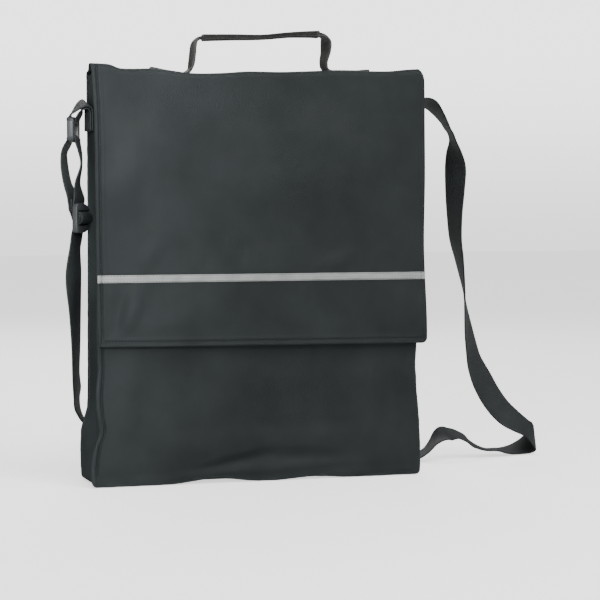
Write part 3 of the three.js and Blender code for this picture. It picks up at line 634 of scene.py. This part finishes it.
flapRight = smoothColumn(flapLook["edges"], "z", "right")
flapFlat = (0.318, 0.33)


def flapTop(x):
    return flapLook["top"] - topSag(x)


def flapFace(z):  # depth of the outer face where the flap lies flat on the bag
    return halfDepth(z) + flapLook["gap"] + flapLook["cloth"]


def flapHem(x):
    return mix(flapLook["hemLeft"], flapLook["hemRight"], (x - flapLook["hemStart"]) / flapLook["hemSpan"])


def hemInset(toBase):
    return mix(flapLook["baseInset"], flapLook["sideInset"], ease(2, 14, toBase))


def hemShape(x, toEdge, toBase):
    # rolled hem with the pull of its stitches beside it: deepest up the left side, nearly flat up the right
    look = flapLook
    upSide = ease(2, 14, toBase)
    shown = mix(1, mix(1, look["rightHem"], ease(40, 120, x)), upSide)
    roll = look["hemRoll"] * mix(look["baseRoll"], 1, upSide)
    roll *= ridge(toEdge - mix(*look["rollAt"], upSide), look["rollWide"])
    fromStitch = toEdge - hemInset(toBase)
    groove = mix(look["baseGroove"], look["sideGroove"], upSide) * ridge(fromStitch, look["grooveWide"])
    swell = look["swell"] * ridge(fromStitch - look["swellAt"], look["swellWide"])
    return shown * (roll - groove + swell)


def hemCorner(aboveHem):  # how far the rounded lower corners draw the sides in
    radius = flapLook["hemCorner"]
    return radius - math.sqrt(max(radius ** 2 - max(radius - aboveHem, 0) ** 2, 0))


def flapDepth(x, z):
    # outer face of the hanging part, as a depth in front of the middle of the bag
    look = flapLook
    left, right = flapLeft(z), flapRight(z)
    low = flapHem(x)
    span = (x - left) / (right - left)
    leanTop = look["top"] - look["leanHeight"]
    crown = look["crown"] * math.sin(math.pi * min(max(span, 0), 1)) * ease(low, leanTop, z)
    crown *= 1 - ease(leanTop, look["top"], z)
    lean = look["hemLean"] * mix(look["leftLean"], 1, ease(-156, -96, x))
    lean *= 1 - ease(low, low + look["leanHeight"], z)
    drawnIn = hemCorner(z - low)
    toEdge = max(min(x - left - drawnIn, right - drawnIn - x, z - low), 0)
    soft = softFolds(look["folds"], x, z) + look["rumple"] * rumple(x, z, look["rumpleSize"], 5.3)
    soft = max(look["foldGain"] * soft, look["deepest"]) * ease(5, 22, toEdge)
    soft *= 1 - look["topCalm"] * ease(330, 376, z)
    return flapFace(z) + lean + crown + soft + hemShape(x, toEdge, z - low)


flapRows = flapLook["hang"] + 2 * flapLook["fold"] + flapLook["over"] + flapLook["sewn"]


def flapSurface(u, v):
    look = flapLook
    radius = look["foldRadius"]
    part = spreadEvenly(u, look["crowd"])
    x = mix(flapLeft(look["top"]), flapRight(look["top"]), part)
    frontTop = flapTop(x)
    backTop = frontTop - look["slope"]
    frontFold = flapDepth(x, frontTop - radius) - radius
    backFold = flapFace(backTop) - radius
    row = v * flapRows

    def edged(y, z, lift=0.0):
        inset = look["backInset"] * ease(-frontFold, backFold, y)
        return Vector((mix(flapLeft(z) + inset, flapRight(z) - inset, part), y, z + lift))

    if row <= look["hang"]:
        t = row / look["hang"]
        z = mix(flapHem(x), frontTop - radius, mix(t, t * t, look["lowRows"]))
        drawnIn = hemCorner(z - flapHem(x))
        hangX = mix(flapLeft(z) + drawnIn, flapRight(z) - drawnIn, part)
        return Vector((hangX, -flapDepth(hangX, z), z))
    row -= look["hang"]
    if row <= look["fold"]:
        c, s = onCircle(90 * row / look["fold"])
        return edged(-frontFold - radius * c, frontTop - radius + radius * s)
    row -= look["fold"]
    if row <= look["over"]:
        t = row / look["over"]
        wave = look["topWave"] * rumple(x, t * 30, 24, 9.4) * math.sin(math.pi * t)
        return edged(mix(-frontFold, backFold, t), mix(frontTop, backTop, t), wave)
    row -= look["over"]
    if row <= look["fold"]:
        c, s = onCircle(90 * row / look["fold"])
        return edged(backFold + radius * s, backTop - radius + radius * c)
    row -= look["fold"]
    z = mix(backTop - radius, look["sewnEdge"], row / look["sewn"])
    place = edged(flapFace(z), z)
    up = z - look["sewnEdge"]
    place.y += 0.5 * ridge(up - 1.2, 1.6) - 0.45 * ridge(up - stitchLook["backRows"][0], 1.4)
    return place


stripeLook = {
    "height": 188.0, "width": 7.0, "thick": 0.7, "gap": 0.3, "edgeRound": 0.2, "ends": 0.4, "pulled": 0.25,
    "columns": 200, "rows": 6, "crowd": 0.4,
}


def stripePlace(x, z, out=0.0):
    return Vector((x, -flapDepth(x, z) - stripeLook["gap"] - stripeLook["thick"] - out, z))


def stripeSurface(u, v):
    z = stripeLook["height"] + stripeLook["width"] * (v - 0.5)
    inset = stripeLook["ends"]
    x = mix(flapLeft(z) + inset, flapRight(z) - inset, spreadEvenly(u, stripeLook["crowd"]))
    pulled = stripeLook["pulled"] * ridge(min(v, 1 - v) * stripeLook["width"], 0.8)
    return stripePlace(x, z, -pulled)  # its edges are pulled down by the stitches


def buildFlap():
    bm = gridOver(flapLook["columns"], flapRows, flapSurface, onSheet(*flapFlat))
    piece = keepPiece("flapCloth", bm, polyesterCloth, "flap")
    giveThickness(piece, flapLook["showing"], flapLook["edgeRound"])
    flat = onSheet(flapFlat[0], stripeLook["width"] * mm)
    bm = gridOver(stripeLook["columns"], stripeLook["rows"], stripeSurface, flat)
    stripe = keepPiece("reflectiveStripe", bm, tapeMaterial, "reflective_stripe")
    giveThickness(stripe, stripeLook["thick"], stripeLook["edgeRound"])
    print("flap and stripe made")


buildFlap()


# carry handle: webbing with a flat tab at each end and a folded grip
handleLook = {
    "step": 1.6, "tabWidth": 20.0, "tabThick": 2.2, "gap": 0.1, "endLift": 1.2,
    "leftTab": (-101, -71), "rightTab": (76, 111),
    "sides": 28, "squareness": 5, "postSquareness": 2.2, "curl": 2.0,
    "gripGroove": 1.6, "layerGroove": 0.5, "backGroove": 0.4,
    "bends": table("x z width thick turn", [
        (-65, 376.4, 18, 2.6, 0), (-61.6, 379.5, 13, 2.4, 0), (-60, 385, 12, 2.4, 8),
        (-58.7, 395, 12, 2.4, 10), (-57.9, 401.5, 12, 2.6, 6), (-56.2, 405.8, 11, 2.8, 0),
        (-52.6, 408.4, 11, 3.2, 0), (-49.4, 408.9, 11, 3.4, 0), (-48.8, 408.9, 12.5, 6.4, 0),
        (-20, 409.9, 12, 5.6, 0), (8, 410.6, 12, 4.8, 0), (36, 413.4, 12, 5.2, 0),
        (62.6, 414.4, 12.5, 7, 0), (63.2, 414.3, 12, 4.2, 0), (68.4, 412.8, 14, 3.4, 0),
        (70.8, 408.2, 18, 2.6, 12), (70.8, 399, 17, 2.4, 14), (68.6, 388, 14, 2.4, 10),
        (70.2, 381.9, 14, 2.6, 4),
    ]),
}


topRun = 2 * (flapFace(flapLook["top"]) - flapLook["foldRadius"])  # from front to back over the top


def tabHeight(x):  # middle of the webbing, which curls up a little at its cut ends
    fromEnd = min(x - handleLook["leftTab"][0], handleLook["rightTab"][1] - x)
    curled = handleLook["endLift"] * (1 - ease(0, 14, fromEnd))
    return flapTop(x) - flapLook["slope"] / 2 + handleLook["gap"] + handleLook["tabThick"] / 2 + curled


def buildHandle():
    look = handleLook
    sloping = Vector((0, topRun, -flapLook["slope"])).normalized()

    def tab(ends):
        size = {"across": sloping, "width": look["tabWidth"], "thick": look["tabThick"]}
        return [{**size, "at": Vector((x, 0, tabHeight(x)))} for x in evenly(*ends, 6)]

    bends = []
    for row in look["bends"]:
        c, s = onCircle(row["turn"])
        bends.append({**row, "at": Vector((row["x"], 0, row["z"])), "across": Vector((-s, c, 0))})
    stations = smoothRoute(tab(look["leftTab"]) + bends + tab(look["rightTab"]), look["step"])

    def section(station):
        height = station["at"].z
        onPost = ease(381, 388, height) * (1 - ease(401, 407, height))  # curled between tab and grip
        rounder = {"width": station["width"], "thick": station["thick"] + look["curl"] * onPost}
        squareness = mix(look["squareness"], look["postSquareness"], onPost)
        folded = ease(3.4, 4.6, station["thick"])  # the grip's two folded edges meet along the front
        layered = 1 - ease(2.4, 3.4, abs(station["thick"] - 3.0) + 2.4)
        groove = look["gripGroove"] * folded + look["layerGroove"] * layered
        shaped = []
        for x, y in roundedSection(look["sides"], squareness)(rounder):
            if x < 0:
                shaped.append((x + groove * ridge(y, 0.16 * station["thick"]), y))
            else:
                shaped.append((x - look["backGroove"] * folded * ridge(y, 0.3 * station["thick"]), y))
        return shaped

    bm = sweep(stations, section)
    piece = keepPiece("carryHandle", bm, handleWebbing, "carry_handle")


buildHandle()


# webbing tab, ring, slider and shoulder strap
webbing = {"width": 25.0, "thick": 1.5, "gap": 0.3, "layer": 1.9, "step": 2.2}
ringLook = {
    "width": 34.4, "height": 23.2, "bar": 4.4, "thick": 5.0, "endThick": 6.4, "corner": 6.0, "turn": 22.0,
    "wrap": 3.9, "out": 14.8, "middle": 323.3, "drift": 0.51, "sides": 24, "squareness": 3.2,
    "thickens": (12.3, 14.4),
}
sliderLook = {
    "width": 33.6, "height": 26.4, "rim": 4.0, "slot": 4.6, "slotCorner": (1.2, 1.2), "middle": 4.4,
    "thick": 4.8, "bevel": 0.7, "corner": (3.5, 5.5), "farCorner": (18.5, 13.1), "inwards": 0.4,
    "turn": 35.0, "at": (-164.5, -3.0, 243.0), "sewnWrap": 3.75, "runWrap": 5.6,
}
sewn = {"low": 322.0, "high": 345.0}
sewnMiddle = (sewn["low"] + sewn["high"]) / 2
leftFace = min(frontFace["left"](sewnMiddle), backFace["left"](sewnMiddle)) + body["seamProud"]
rightFace = rightEdge(sewnMiddle) - body["seamProud"]
ringMiddle = Vector((leftFace - ringLook["out"], ringLook["out"] * ringLook["drift"], ringLook["middle"]))
ringBar = (ringLook["height"] - ringLook["bar"]) / 2
sliderMiddle = Vector(sliderLook["at"])


def webbingAt(at, turn, tip=0.0):
    # turn swings the direction across the webbing from +Y towards +X, and tip raises it
    level, rise = onCircle(tip)
    c, s = onCircle(turn)
    return {**webbing, "at": at, "across": Vector((s * level, c * level, rise))}


def besideFitting(middle, turn, out, up):
    c, s = onCircle(turn)
    return webbingAt(middle + Vector((-out * c, out * s, up)), turn)


def roundBar(middle, turn, radius, barUp, fromAngle, toAngle, steps):
    spots = []
    for c, s in map(onCircle, evenly(fromAngle, toAngle, steps)):
        spots.append(besideFitting(middle, turn, radius * c, barUp + radius * s))
    return spots


def buildWebbing(name, node, rows):
    stations = smoothRoute(rows, webbing["step"])
    piece = keepPiece(name, sweep(stations, webbingSection), strapWebbing, node)


tabLook = {  # front and back edge of the webbing, each as out from the side, y and z
    "outer": [((1.05, -12.5, 338), (1.05, 12.5, 340)), ((1.5, -12.4, 341.6), (1.3, 12.5, 344.6)),
              ((3.2, -11.8, 343.6), (2.6, 12.9, 348.6)), ((6.4, -10.6, 344), (5.0, 13.6, 351.2)),
              ((11, -8.6, 342.2), (8.4, 15, 349)), ((16.5, -6.2, 338.8), (11.4, 16.8, 344.2)),
              ((20.2, -4.4, 336), (13.4, 18.6, 339.6))],
    "inner": [((14.2, -6.2, 335.4), (5.6, 17.4, 335.6)), ((12.4, -7.2, 338.6), (4.4, 16.4, 339.4)),
              ((9.6, -8.8, 340.8), (5.2, 15.4, 344.6)), ((6.6, -10.2, 342), (5.2, 14.4, 348.6)),
              ((4.6, -11.2, 341.7), (4.2, 13.4, 347.4)), ((3.4, -12, 339.8), (3.2, 12.8, 344)),
              ((2.95, -12.5, 337), (2.95, 12.5, 340))],
    "turn": 20.0,
}


def buildTab():
    # sewn flat to the side, then arched outwards on the slant as two layers that part above the ring
    def between(edges):
        front, back = [Vector((leftFace - out, y, z)) for out, y, z in edges]
        return {**webbing, "at": (front + back) / 2, "across": back - front, "slant": 1}

    def tail(out):
        return [between(((out, -12.5, z), (out, 12.5, z))) for z in (sewn["low"], 327, 332)]

    onSide = webbing["gap"] + webbing["thick"] / 2
    rows = tail(onSide) + [between(edges) for edges in tabLook["outer"]]
    overRing = roundBar(ringMiddle, tabLook["turn"], ringLook["wrap"], ringBar, 15, -185, 7)
    rows += [{**row, "slant": 1} for row in overRing]
    rows += [between(edges) for edges in tabLook["inner"]] + tail(onSide + webbing["layer"])[::-1]
    buildWebbing("strapTab", "strap_tab", rows)


def roundedLoop(width, height, near, far, steps):
    # rounded rectangle as (along, up) pairs; near and far are the (along, up) radii of its two ends
    points = []
    for right, top, start in ((1, 1, 0), (-1, 1, 90), (-1, -1, 180), (1, -1, 270)):
        radius = far if right > 0 else near
        for c, s in map(onCircle, evenly(start, start + 90, steps)):
            points.append((right * (width / 2 - radius[0]) + radius[0] * c,
                           top * (height / 2 - radius[1]) + radius[1] * s))
    return points


def plateFrame(turn):  # directions of a fitting: along the webbing's width, up, and outwards
    c, s = onCircle(turn)
    return Vector((s, c, 0)), Vector((0, 0, 1)), Vector((-c, s, 0))


def buildRing():
    # a bar of squarish section round a closed loop, thicker at its two ends, where no webbing wraps it
    look = ringLook
    along, up, out = plateFrame(look["turn"])
    bend = (look["corner"] - look["bar"] / 2,) * 2
    loop = roundedLoop(look["width"] - look["bar"], look["height"] - look["bar"], bend, bend, 6)
    loop.append(loop[0])
    stations = []
    for a, b in loop:
        thick = mix(look["thick"], look["endThick"], ease(*look["thickens"], abs(a)))
        place = ringMiddle + along * a + up * b
        stations.append({"at": place, "across": out, "width": thick, "thick": look["bar"]})
    squareUp(stations)
    closing = (stations[1]["at"] - stations[-2]["at"]).normalized()
    for end in (stations[0], stations[-1]):  # the two ends meet without a step
        end["facing"] = closing.cross(end["across"])
    bm = sweep(stations, roundedSection(look["sides"], look["squareness"]))
    keepPiece("strapRing", bm, plasticMaterial, "strap_ring")
    print("ring made")


def buildSlider():
    # a moulded plate with two slots, filled from its outline, then thickened and rounded
    look = sliderLook
    along, up, out = plateFrame(look["turn"])
    shape = bpy.data.curves.new("sliderOutline", "CURVE")
    shape.dimensions = "2D"
    shape.fill_mode = "BOTH"
    slotUp = (look["middle"] + look["slot"]) / 2
    slotLong = look["width"] - 2 * look["rim"]
    slot = roundedLoop(slotLong, look["slot"], look["slotCorner"], look["slotCorner"], 4)
    plate = roundedLoop(look["width"], look["height"], look["corner"], look["farCorner"], 12)
    for rise, loop in ((0, plate), (slotUp, slot), (-slotUp, slot)):
        spline = shape.splines.new("POLY")
        spline.points.add(len(loop) - 1)
        for point, (a, b) in zip(spline.points, loop):
            point.co = (a * mm, (b + rise) * mm, 0, 1)
        spline.use_cyclic_u = True
    shape.extrude = (look["thick"] / 2 - look["bevel"]) * mm
    shape.bevel_depth = look["bevel"] * mm
    shape.bevel_resolution = 3
    shape.offset = -look["bevel"] * mm
    drawn = bpy.data.objects.new("sliderOutline", shape)
    mesh = bpy.data.meshes.new_from_object(drawn)
    bpy.data.objects.remove(drawn)
    bpy.data.curves.remove(shape)
    seat = sliderMiddle - out * look["inwards"]
    turned = Matrix((along, up, out)).transposed().to_4x4()
    mesh.transform(Matrix.Translation(seat * mm) @ turned)
    bm = bmesh.new()
    bm.from_mesh(mesh)
    bpy.data.meshes.remove(mesh)
    bmesh.ops.remove_doubles(bm, verts=bm.verts, dist=2e-6)
    bmesh.ops.recalc_face_normals(bm, faces=bm.faces)
    piece = keepPiece("strapSlider", bm, plasticMaterial, "strap_slider")
    piece.data.set_sharp_from_angle(angle=math.radians(35))
    print("slider made")


# at the slider, as out from its middle and up
sewnTail = [(4.9, 17), (4.9, 11), (4.8, 7.3), (3.2, 4.7)]
sewnLayer = [(4.4, 1.6), (5.5, 4.6), (6.9, 7.5), (7.2, 11), (8.4, 18)]
runAbove = [(2.2, 17), (2.9, 13.5), (3, 11), (3, 8.4), (2, 6.3)]
runBelow = [(2, -6.3), (3, -8.4), (3.5, -11), (4.2, -13.5), (4.8, -17)]
# along the strap, as x, y, z, turn and tip
outerLayer = [(-176, 2, 274, 28, 0), (-178.4, 4, 290, 26, 0), (-177.6, 6.5, 303, 23, 0)]
innerLayer = [(-164, 4.5, 303, 18, 0), (-163.2, 2.5, 291, 14, 0), (-167, 0, 274, 22, 0)]
strapRoute = [
    (-170.2, -1.5, 216, 34, 0), (-171.5, 0, 191, 45, 0), (-169, 6, 159, 36, 0), (-167, 12, 126, 29, 0),
    (-165.8, 18, 98, 25, 0), (-163, 27, 83, 24, 0), (-158.5, 42, 68, 20, 0), (-151, 55, 54, 12, 0),
    (-138, 62, 36, 5, 0), (-116, 65, 17, 0, 0), (-86, 67, 5, 0, 0), (-50, 67, 1.2, 0, 0),
    (40, 65, 1.2, 0, 0), (110, 61, 1.2, 0, 0), (160, 59, 1.6, 0, 0), (181, 59, 3.2, 0, 3),
    (195.5, 60, 9, 11, 3), (206.5, 62, 17.6, 12, 9), (218.5, 65, 24.8, 9, 30), (229, 67, 25, 14, 14),
    (242, 70, 19.8, 20, 6), (251, 72, 13.5, 22, 1), (265, 75, 7.6, 24, -4), (278.7, 76.5, 5.2, 25, -4),
    (288.4, 78.6, 3.9, 20, 5), (297.9, 80.6, 4.6, 19, 16), (311, 82.8, 7.3, 13, 32), (319.8, 83, 11.4, 5, 57),
    (322.4, 78, 15.3, -20, 80), (318.8, 72.6, 19.5, 6, 72), (312, 70.4, 26, 30, 37), (299, 69, 33.3, 56, 33),
    (284, 68, 44.3, 68, 42), (269, 63, 59.7, 77, 38),
    (256, 57, 77.8, 74, 31), (244.5, 50, 96.3, 56, 18), (238, 44, 113.4, 46, 11), (231.7, 37, 132.5, 37, 8),
    (226.4, 31, 153, 26, 1), (223.3, 27, 168, 20, 0), (215, 20, 200.7, 4, 0), (209.2, 15, 220.4, -5, 0),
    (206.4, 11, 245, -14, 0), (206, 9, 269, -26, 0), (206, 8, 290, -32, 0), (204.2, 7, 305, -14, 2),
    (202.8, 6, 315.5, 7, 0), (199.8, 5, 322.4, 14, -4), (196, 4, 327.5, 13, -4), (191.2, 3, 334.8, 9, -5),
    (184, 2, 343.7, 4, -11), (177.5, 1, 349.7, 3, -18), (170, 0, 352.8, 0, -16), (162.5, 0, 352.5, 0, -8),
]


def buildStrap():
    # sewn round the slider, up through the ring, back through the slider, behind the bag along the floor,
    # out at the right in a fold and up to the right side
    turn = sliderLook["turn"]

    def atSlider(rows):
        return [besideFitting(sliderMiddle, turn, *row) for row in rows]

    def onRoute(rows):  # sheared only where it folds over on the floor
        return [{**webbingAt(Vector(row[:3]), *row[3:]), "slant": ease(282, 300, row[0])} for row in rows]

    foldOut = 6.0
    foldRadius = foldOut - webbing["gap"] - webbing["thick"] / 2

    def atRight(out, z):
        return webbingAt(Vector((rightFace + out, 0, z)), 0)

    foldIn = []
    for c, s in map(onCircle, (70, 105, 140, 180)):
        foldIn.append(atRight(foldOut + foldRadius * c, sewn["high"] + foldRadius * s))
    tail = [atRight(foldOut - foldRadius, mix(sewn["low"], sewn["high"], t)) for t in (0.87, 0.6, 0)]
    rows = atSlider(sewnTail) + roundBar(sliderMiddle, turn, sliderLook["sewnWrap"], 0, 85, 340, 9)
    rows += atSlider(sewnLayer) + onRoute(outerLayer)
    rows += roundBar(ringMiddle, ringLook["turn"], ringLook["wrap"], -ringBar, -15, 195, 7)
    rows += onRoute(innerLayer) + atSlider(runAbove)
    rows += roundBar(sliderMiddle, turn, sliderLook["runWrap"], 0, 95, 265, 6)
    rows += atSlider(runBelow) + onRoute(strapRoute) + foldIn + tail
    buildWebbing("shoulderStrap", "shoulder_strap", rows)


buildRing()
buildSlider()
buildTab()
buildStrap()


# sewing: rows of short raised stitches
def stitchAlong(bm, points, outward):
    # a stitch every pitch along points in millimetres, facing outward
    look = stitchLook
    size = Matrix.Diagonal((look["long"] / 2, look["wide"] / 2, look["high"], 1))
    carried = 0.0
    places = []
    for start, end in zip(points, points[1:]):
        step = end - start
        length = step.length
        while carried <= length and length > 0:
            along = step.normalized()
            facing = (outward - along * outward.dot(along)).normalized()
            turn = Matrix((along, facing.cross(along), facing)).transposed().to_4x4()
            spot = start + step * (carried / length) + facing * look["raised"]
            places.append(Matrix.Scale(mm, 4) @ Matrix.Translation(spot) @ turn @ size)
            carried += look["pitch"]
        carried -= length
    for first in range(0, len(places), look["batch"]):  # sewn in short lengths, which is quicker
        short = bmesh.new()
        for place in places[first:first + look["batch"]]:
            bmesh.ops.create_uvsphere(short, u_segments=6, v_segments=4, radius=1, matrix=place)
        mesh = meshFrom("shortRow", short)
        bm.from_mesh(mesh)
        bpy.data.meshes.remove(mesh)


def stitchBox(bm, a0, a1, b0, b1, steps, placeAt, outward):  # a box with a cross in it
    path = [(a0, b0), (a1, b0), (a1, b1), (a0, b1), (a0, b0), (a1, b1), (a0, b1), (a1, b0)]
    for (a, b), (c, d) in zip(path, path[1:]):
        spots = zip(evenly(a, c, steps), evenly(b, d, steps))
        stitchAlong(bm, [placeAt(*spot) for spot in spots], outward)


def buildStitches():
    look = stitchLook
    bm = bmesh.new()
    front, back, up = Vector((0, -1, 0)), Vector((0, 1, 0)), Vector((0, 0, 1))

    def onFlap(x, z):  # on the cloth, or on the stripe where the row crosses it
        if abs(z - stripeLook["height"]) < stripeLook["width"] / 2:
            return stripePlace(x, z)
        return Vector((x, -flapDepth(x, z), z))

    inset = flapLook["sideInset"]
    line = [onFlap(flapLeft(z) + inset, z) for z in evenly(look["hemTop"], look["hemTurn"], 120)]
    for x in evenly(flapLeft(130) + inset, flapRight(130) - inset, 150)[1:-1]:
        line.append(onFlap(x, flapHem(x) + flapLook["baseInset"]))
    stitchAlong(bm, line, front)
    half = stripeLook["width"] / 2
    tack = evenly(stripeLook["height"] - half, stripeLook["height"] + half, 8)  # the stripe's right end
    stitchAlong(bm, [stripePlace(flapRight(z) - inset, z) for z in tack], front)
    for off in (-look["stripeOff"], look["stripeOff"]):  # both edges of the stripe
        z = stripeLook["height"] + off
        spots = evenly(flapLeft(z) + look["stripeEnds"], flapRight(z) - look["stripeEnds"], 160)
        stitchAlong(bm, [stripePlace(x, z) for x in spots], front)
    for row in look["backRows"]:  # flap's strip on the back
        z = flapLook["sewnEdge"] + row
        line = [Vector((x, flapFace(z) - 0.1, z)) for x in evenly(*look["backEnds"], 150)]
        stitchAlong(bm, line, back)

    def onTab(x, y):
        fall = y * flapLook["slope"] / topRun
        return Vector((x, y, tabHeight(x) + handleLook["tabThick"] / 2 - fall))

    inset = look["boxInset"]
    half = handleLook["tabWidth"] / 2 - inset
    for low, high in (handleLook["leftTab"], handleLook["rightTab"]):
        stitchBox(bm, low + inset, high - inset, -half, half, 12, onTab, up)
    half = webbing["width"] / 2 - inset
    tabFace = leftFace - webbing["gap"] - webbing["thick"] - webbing["layer"]
    strapFace = rightFace + webbing["gap"] + webbing["thick"]
    for x, outward in ((tabFace, Vector((-1, 0, 0))), (strapFace, Vector((1, 0, 0)))):
        stitchBox(bm, -half, half, sewn["low"] + inset, sewn["high"] - inset, 8,
                  lambda y, z: Vector((x, y, z)), outward)
    piece = keepPiece("stitching", bm, sewingThread)
    print("stitches sewn:", len(piece.data.polygons) // 24)


buildStitches()


# floor, light and camera
stageLook = {
    "floor": "#f4f4f3", "lens": 126.65, "eye": (-569.2, -1890.2, 265.7), "yaw": 18.011, "pitch": 2.9,
    "skyLight": 0.4, "horizon": 1.7, "above": 2.8, "floorGlow": 1.3,
    "lights": table("name kind at to size power beam", [
        ("topLight", "AREA", (0.12, -0.8, 1.65), (0.03, 0.0, 0.2), 0.8, 22, 0),
        ("frontLight", "AREA", (-0.3, -1.5, 0.75), (0.0, 0.0, 0.2), 0.6, 2.5, 0),
        ("rightLight", "AREA", (0.75, -1.2, 0.9), (0.15, 0.0, 0.28), 0.5, 9, 0),
        ("backLight", "AREA", (0.2, 1.7, 1.45), (0.0, 0.0, 0.2), 1.2, 18, 0),
        ("sideLight", "AREA", (-1.2, -1.05, 0.35), (-0.17, 0.0, 0.25), 0.2, 3, 0),
        ("leftLight", "SPOT", (-0.6, -1.6, 0.75), (-0.24, 0.0, 0.34), 0.15, 240, 15),
        ("lowLeftLight", "SPOT", (-0.6, -1.6, 0.5), (-0.2, 0.0, 0.05), 0.12, 145, 8),
    ]),
}


def buildStage():
    bm = bmesh.new()
    bmesh.ops.create_grid(bm, x_segments=1, y_segments=1, size=7)
    bmesh.ops.translate(bm, verts=bm.verts, vec=(0, 0, -0.0004))
    floor = putIn("floor", meshFrom("floor", bm))
    material, add = newMaterial("paleFloor")
    pale = linear(stageLook["floor"])
    seen = add("LightPath", {}).outputs["Is Camera Ray"]  # pale without lighting the bag from below
    glow = add("Math", {"operation": "MULTIPLY", 1: stageLook["floorGlow"]}, {0: seen})
    shader = add("BsdfPrincipled", {
        "Base Color": pale, "Roughness": 0.7, "Specular IOR Level": 0.2, "Emission Color": pale,
    }, {"Emission Strength": glow})
    add("OutputMaterial", {}, {"Surface": shader})
    floor.data.materials.append(material)
    world = bpy.data.worlds.new("whiteStudio")
    add = emptyTree(world)
    seen = add("LightPath", {}).outputs["Is Camera Ray"]
    parts = add("SeparateXYZ", {}, {0: add("TexCoord", {}).outputs["Generated"]})
    paler = add("MapRange", {
        "interpolation_type": "SMOOTHSTEP", "From Min": -0.03, "From Max": 0.07,
        "To Min": stageLook["horizon"], "To Max": stageLook["above"],
    }, {"Value": parts.outputs["Z"]})
    strength = add("Mix", {"data_type": "FLOAT", 2: stageLook["skyLight"]}, {0: seen, 3: paler})
    sky = add("Background", {"Color": (1, 1, 1, 1)}, {"Strength": strength})
    add("OutputWorld", {}, {"Surface": sky})
    bpy.context.scene.world = world

    def aim(thing, direction):
        thing.rotation_euler = direction.to_track_quat("-Z", "Y").to_euler()

    for look in stageLook["lights"]:
        lamp = bpy.data.lights.new(look["name"], look["kind"])
        lamp.energy = look["power"]
        if look["kind"] == "SPOT":  # soft-edged beam
            lamp.shadow_soft_size = look["size"]
            lamp.spot_size = math.radians(look["beam"])
            lamp.spot_blend = 1.0
        else:
            lamp.size = look["size"]
        light = putIn(look["name"], lamp)
        light.location = look["at"]
        light.visible_camera = False
        aim(light, Vector(look["to"]) - Vector(look["at"]))
    lens = bpy.data.cameras.new("photoCamera")
    lens.lens = stageLook["lens"]
    lens.sensor_width = 36
    lens.clip_end = 50
    camera = putIn("photoCamera", lens)
    camera.location = Vector(stageLook["eye"]) * mm
    (ahead, aside), (level, down) = onCircle(stageLook["yaw"]), onCircle(stageLook["pitch"])
    aim(camera, Vector((aside * level, ahead * level, -down)))
    bpy.context.scene.camera = camera
    print("stage set")


buildStage()
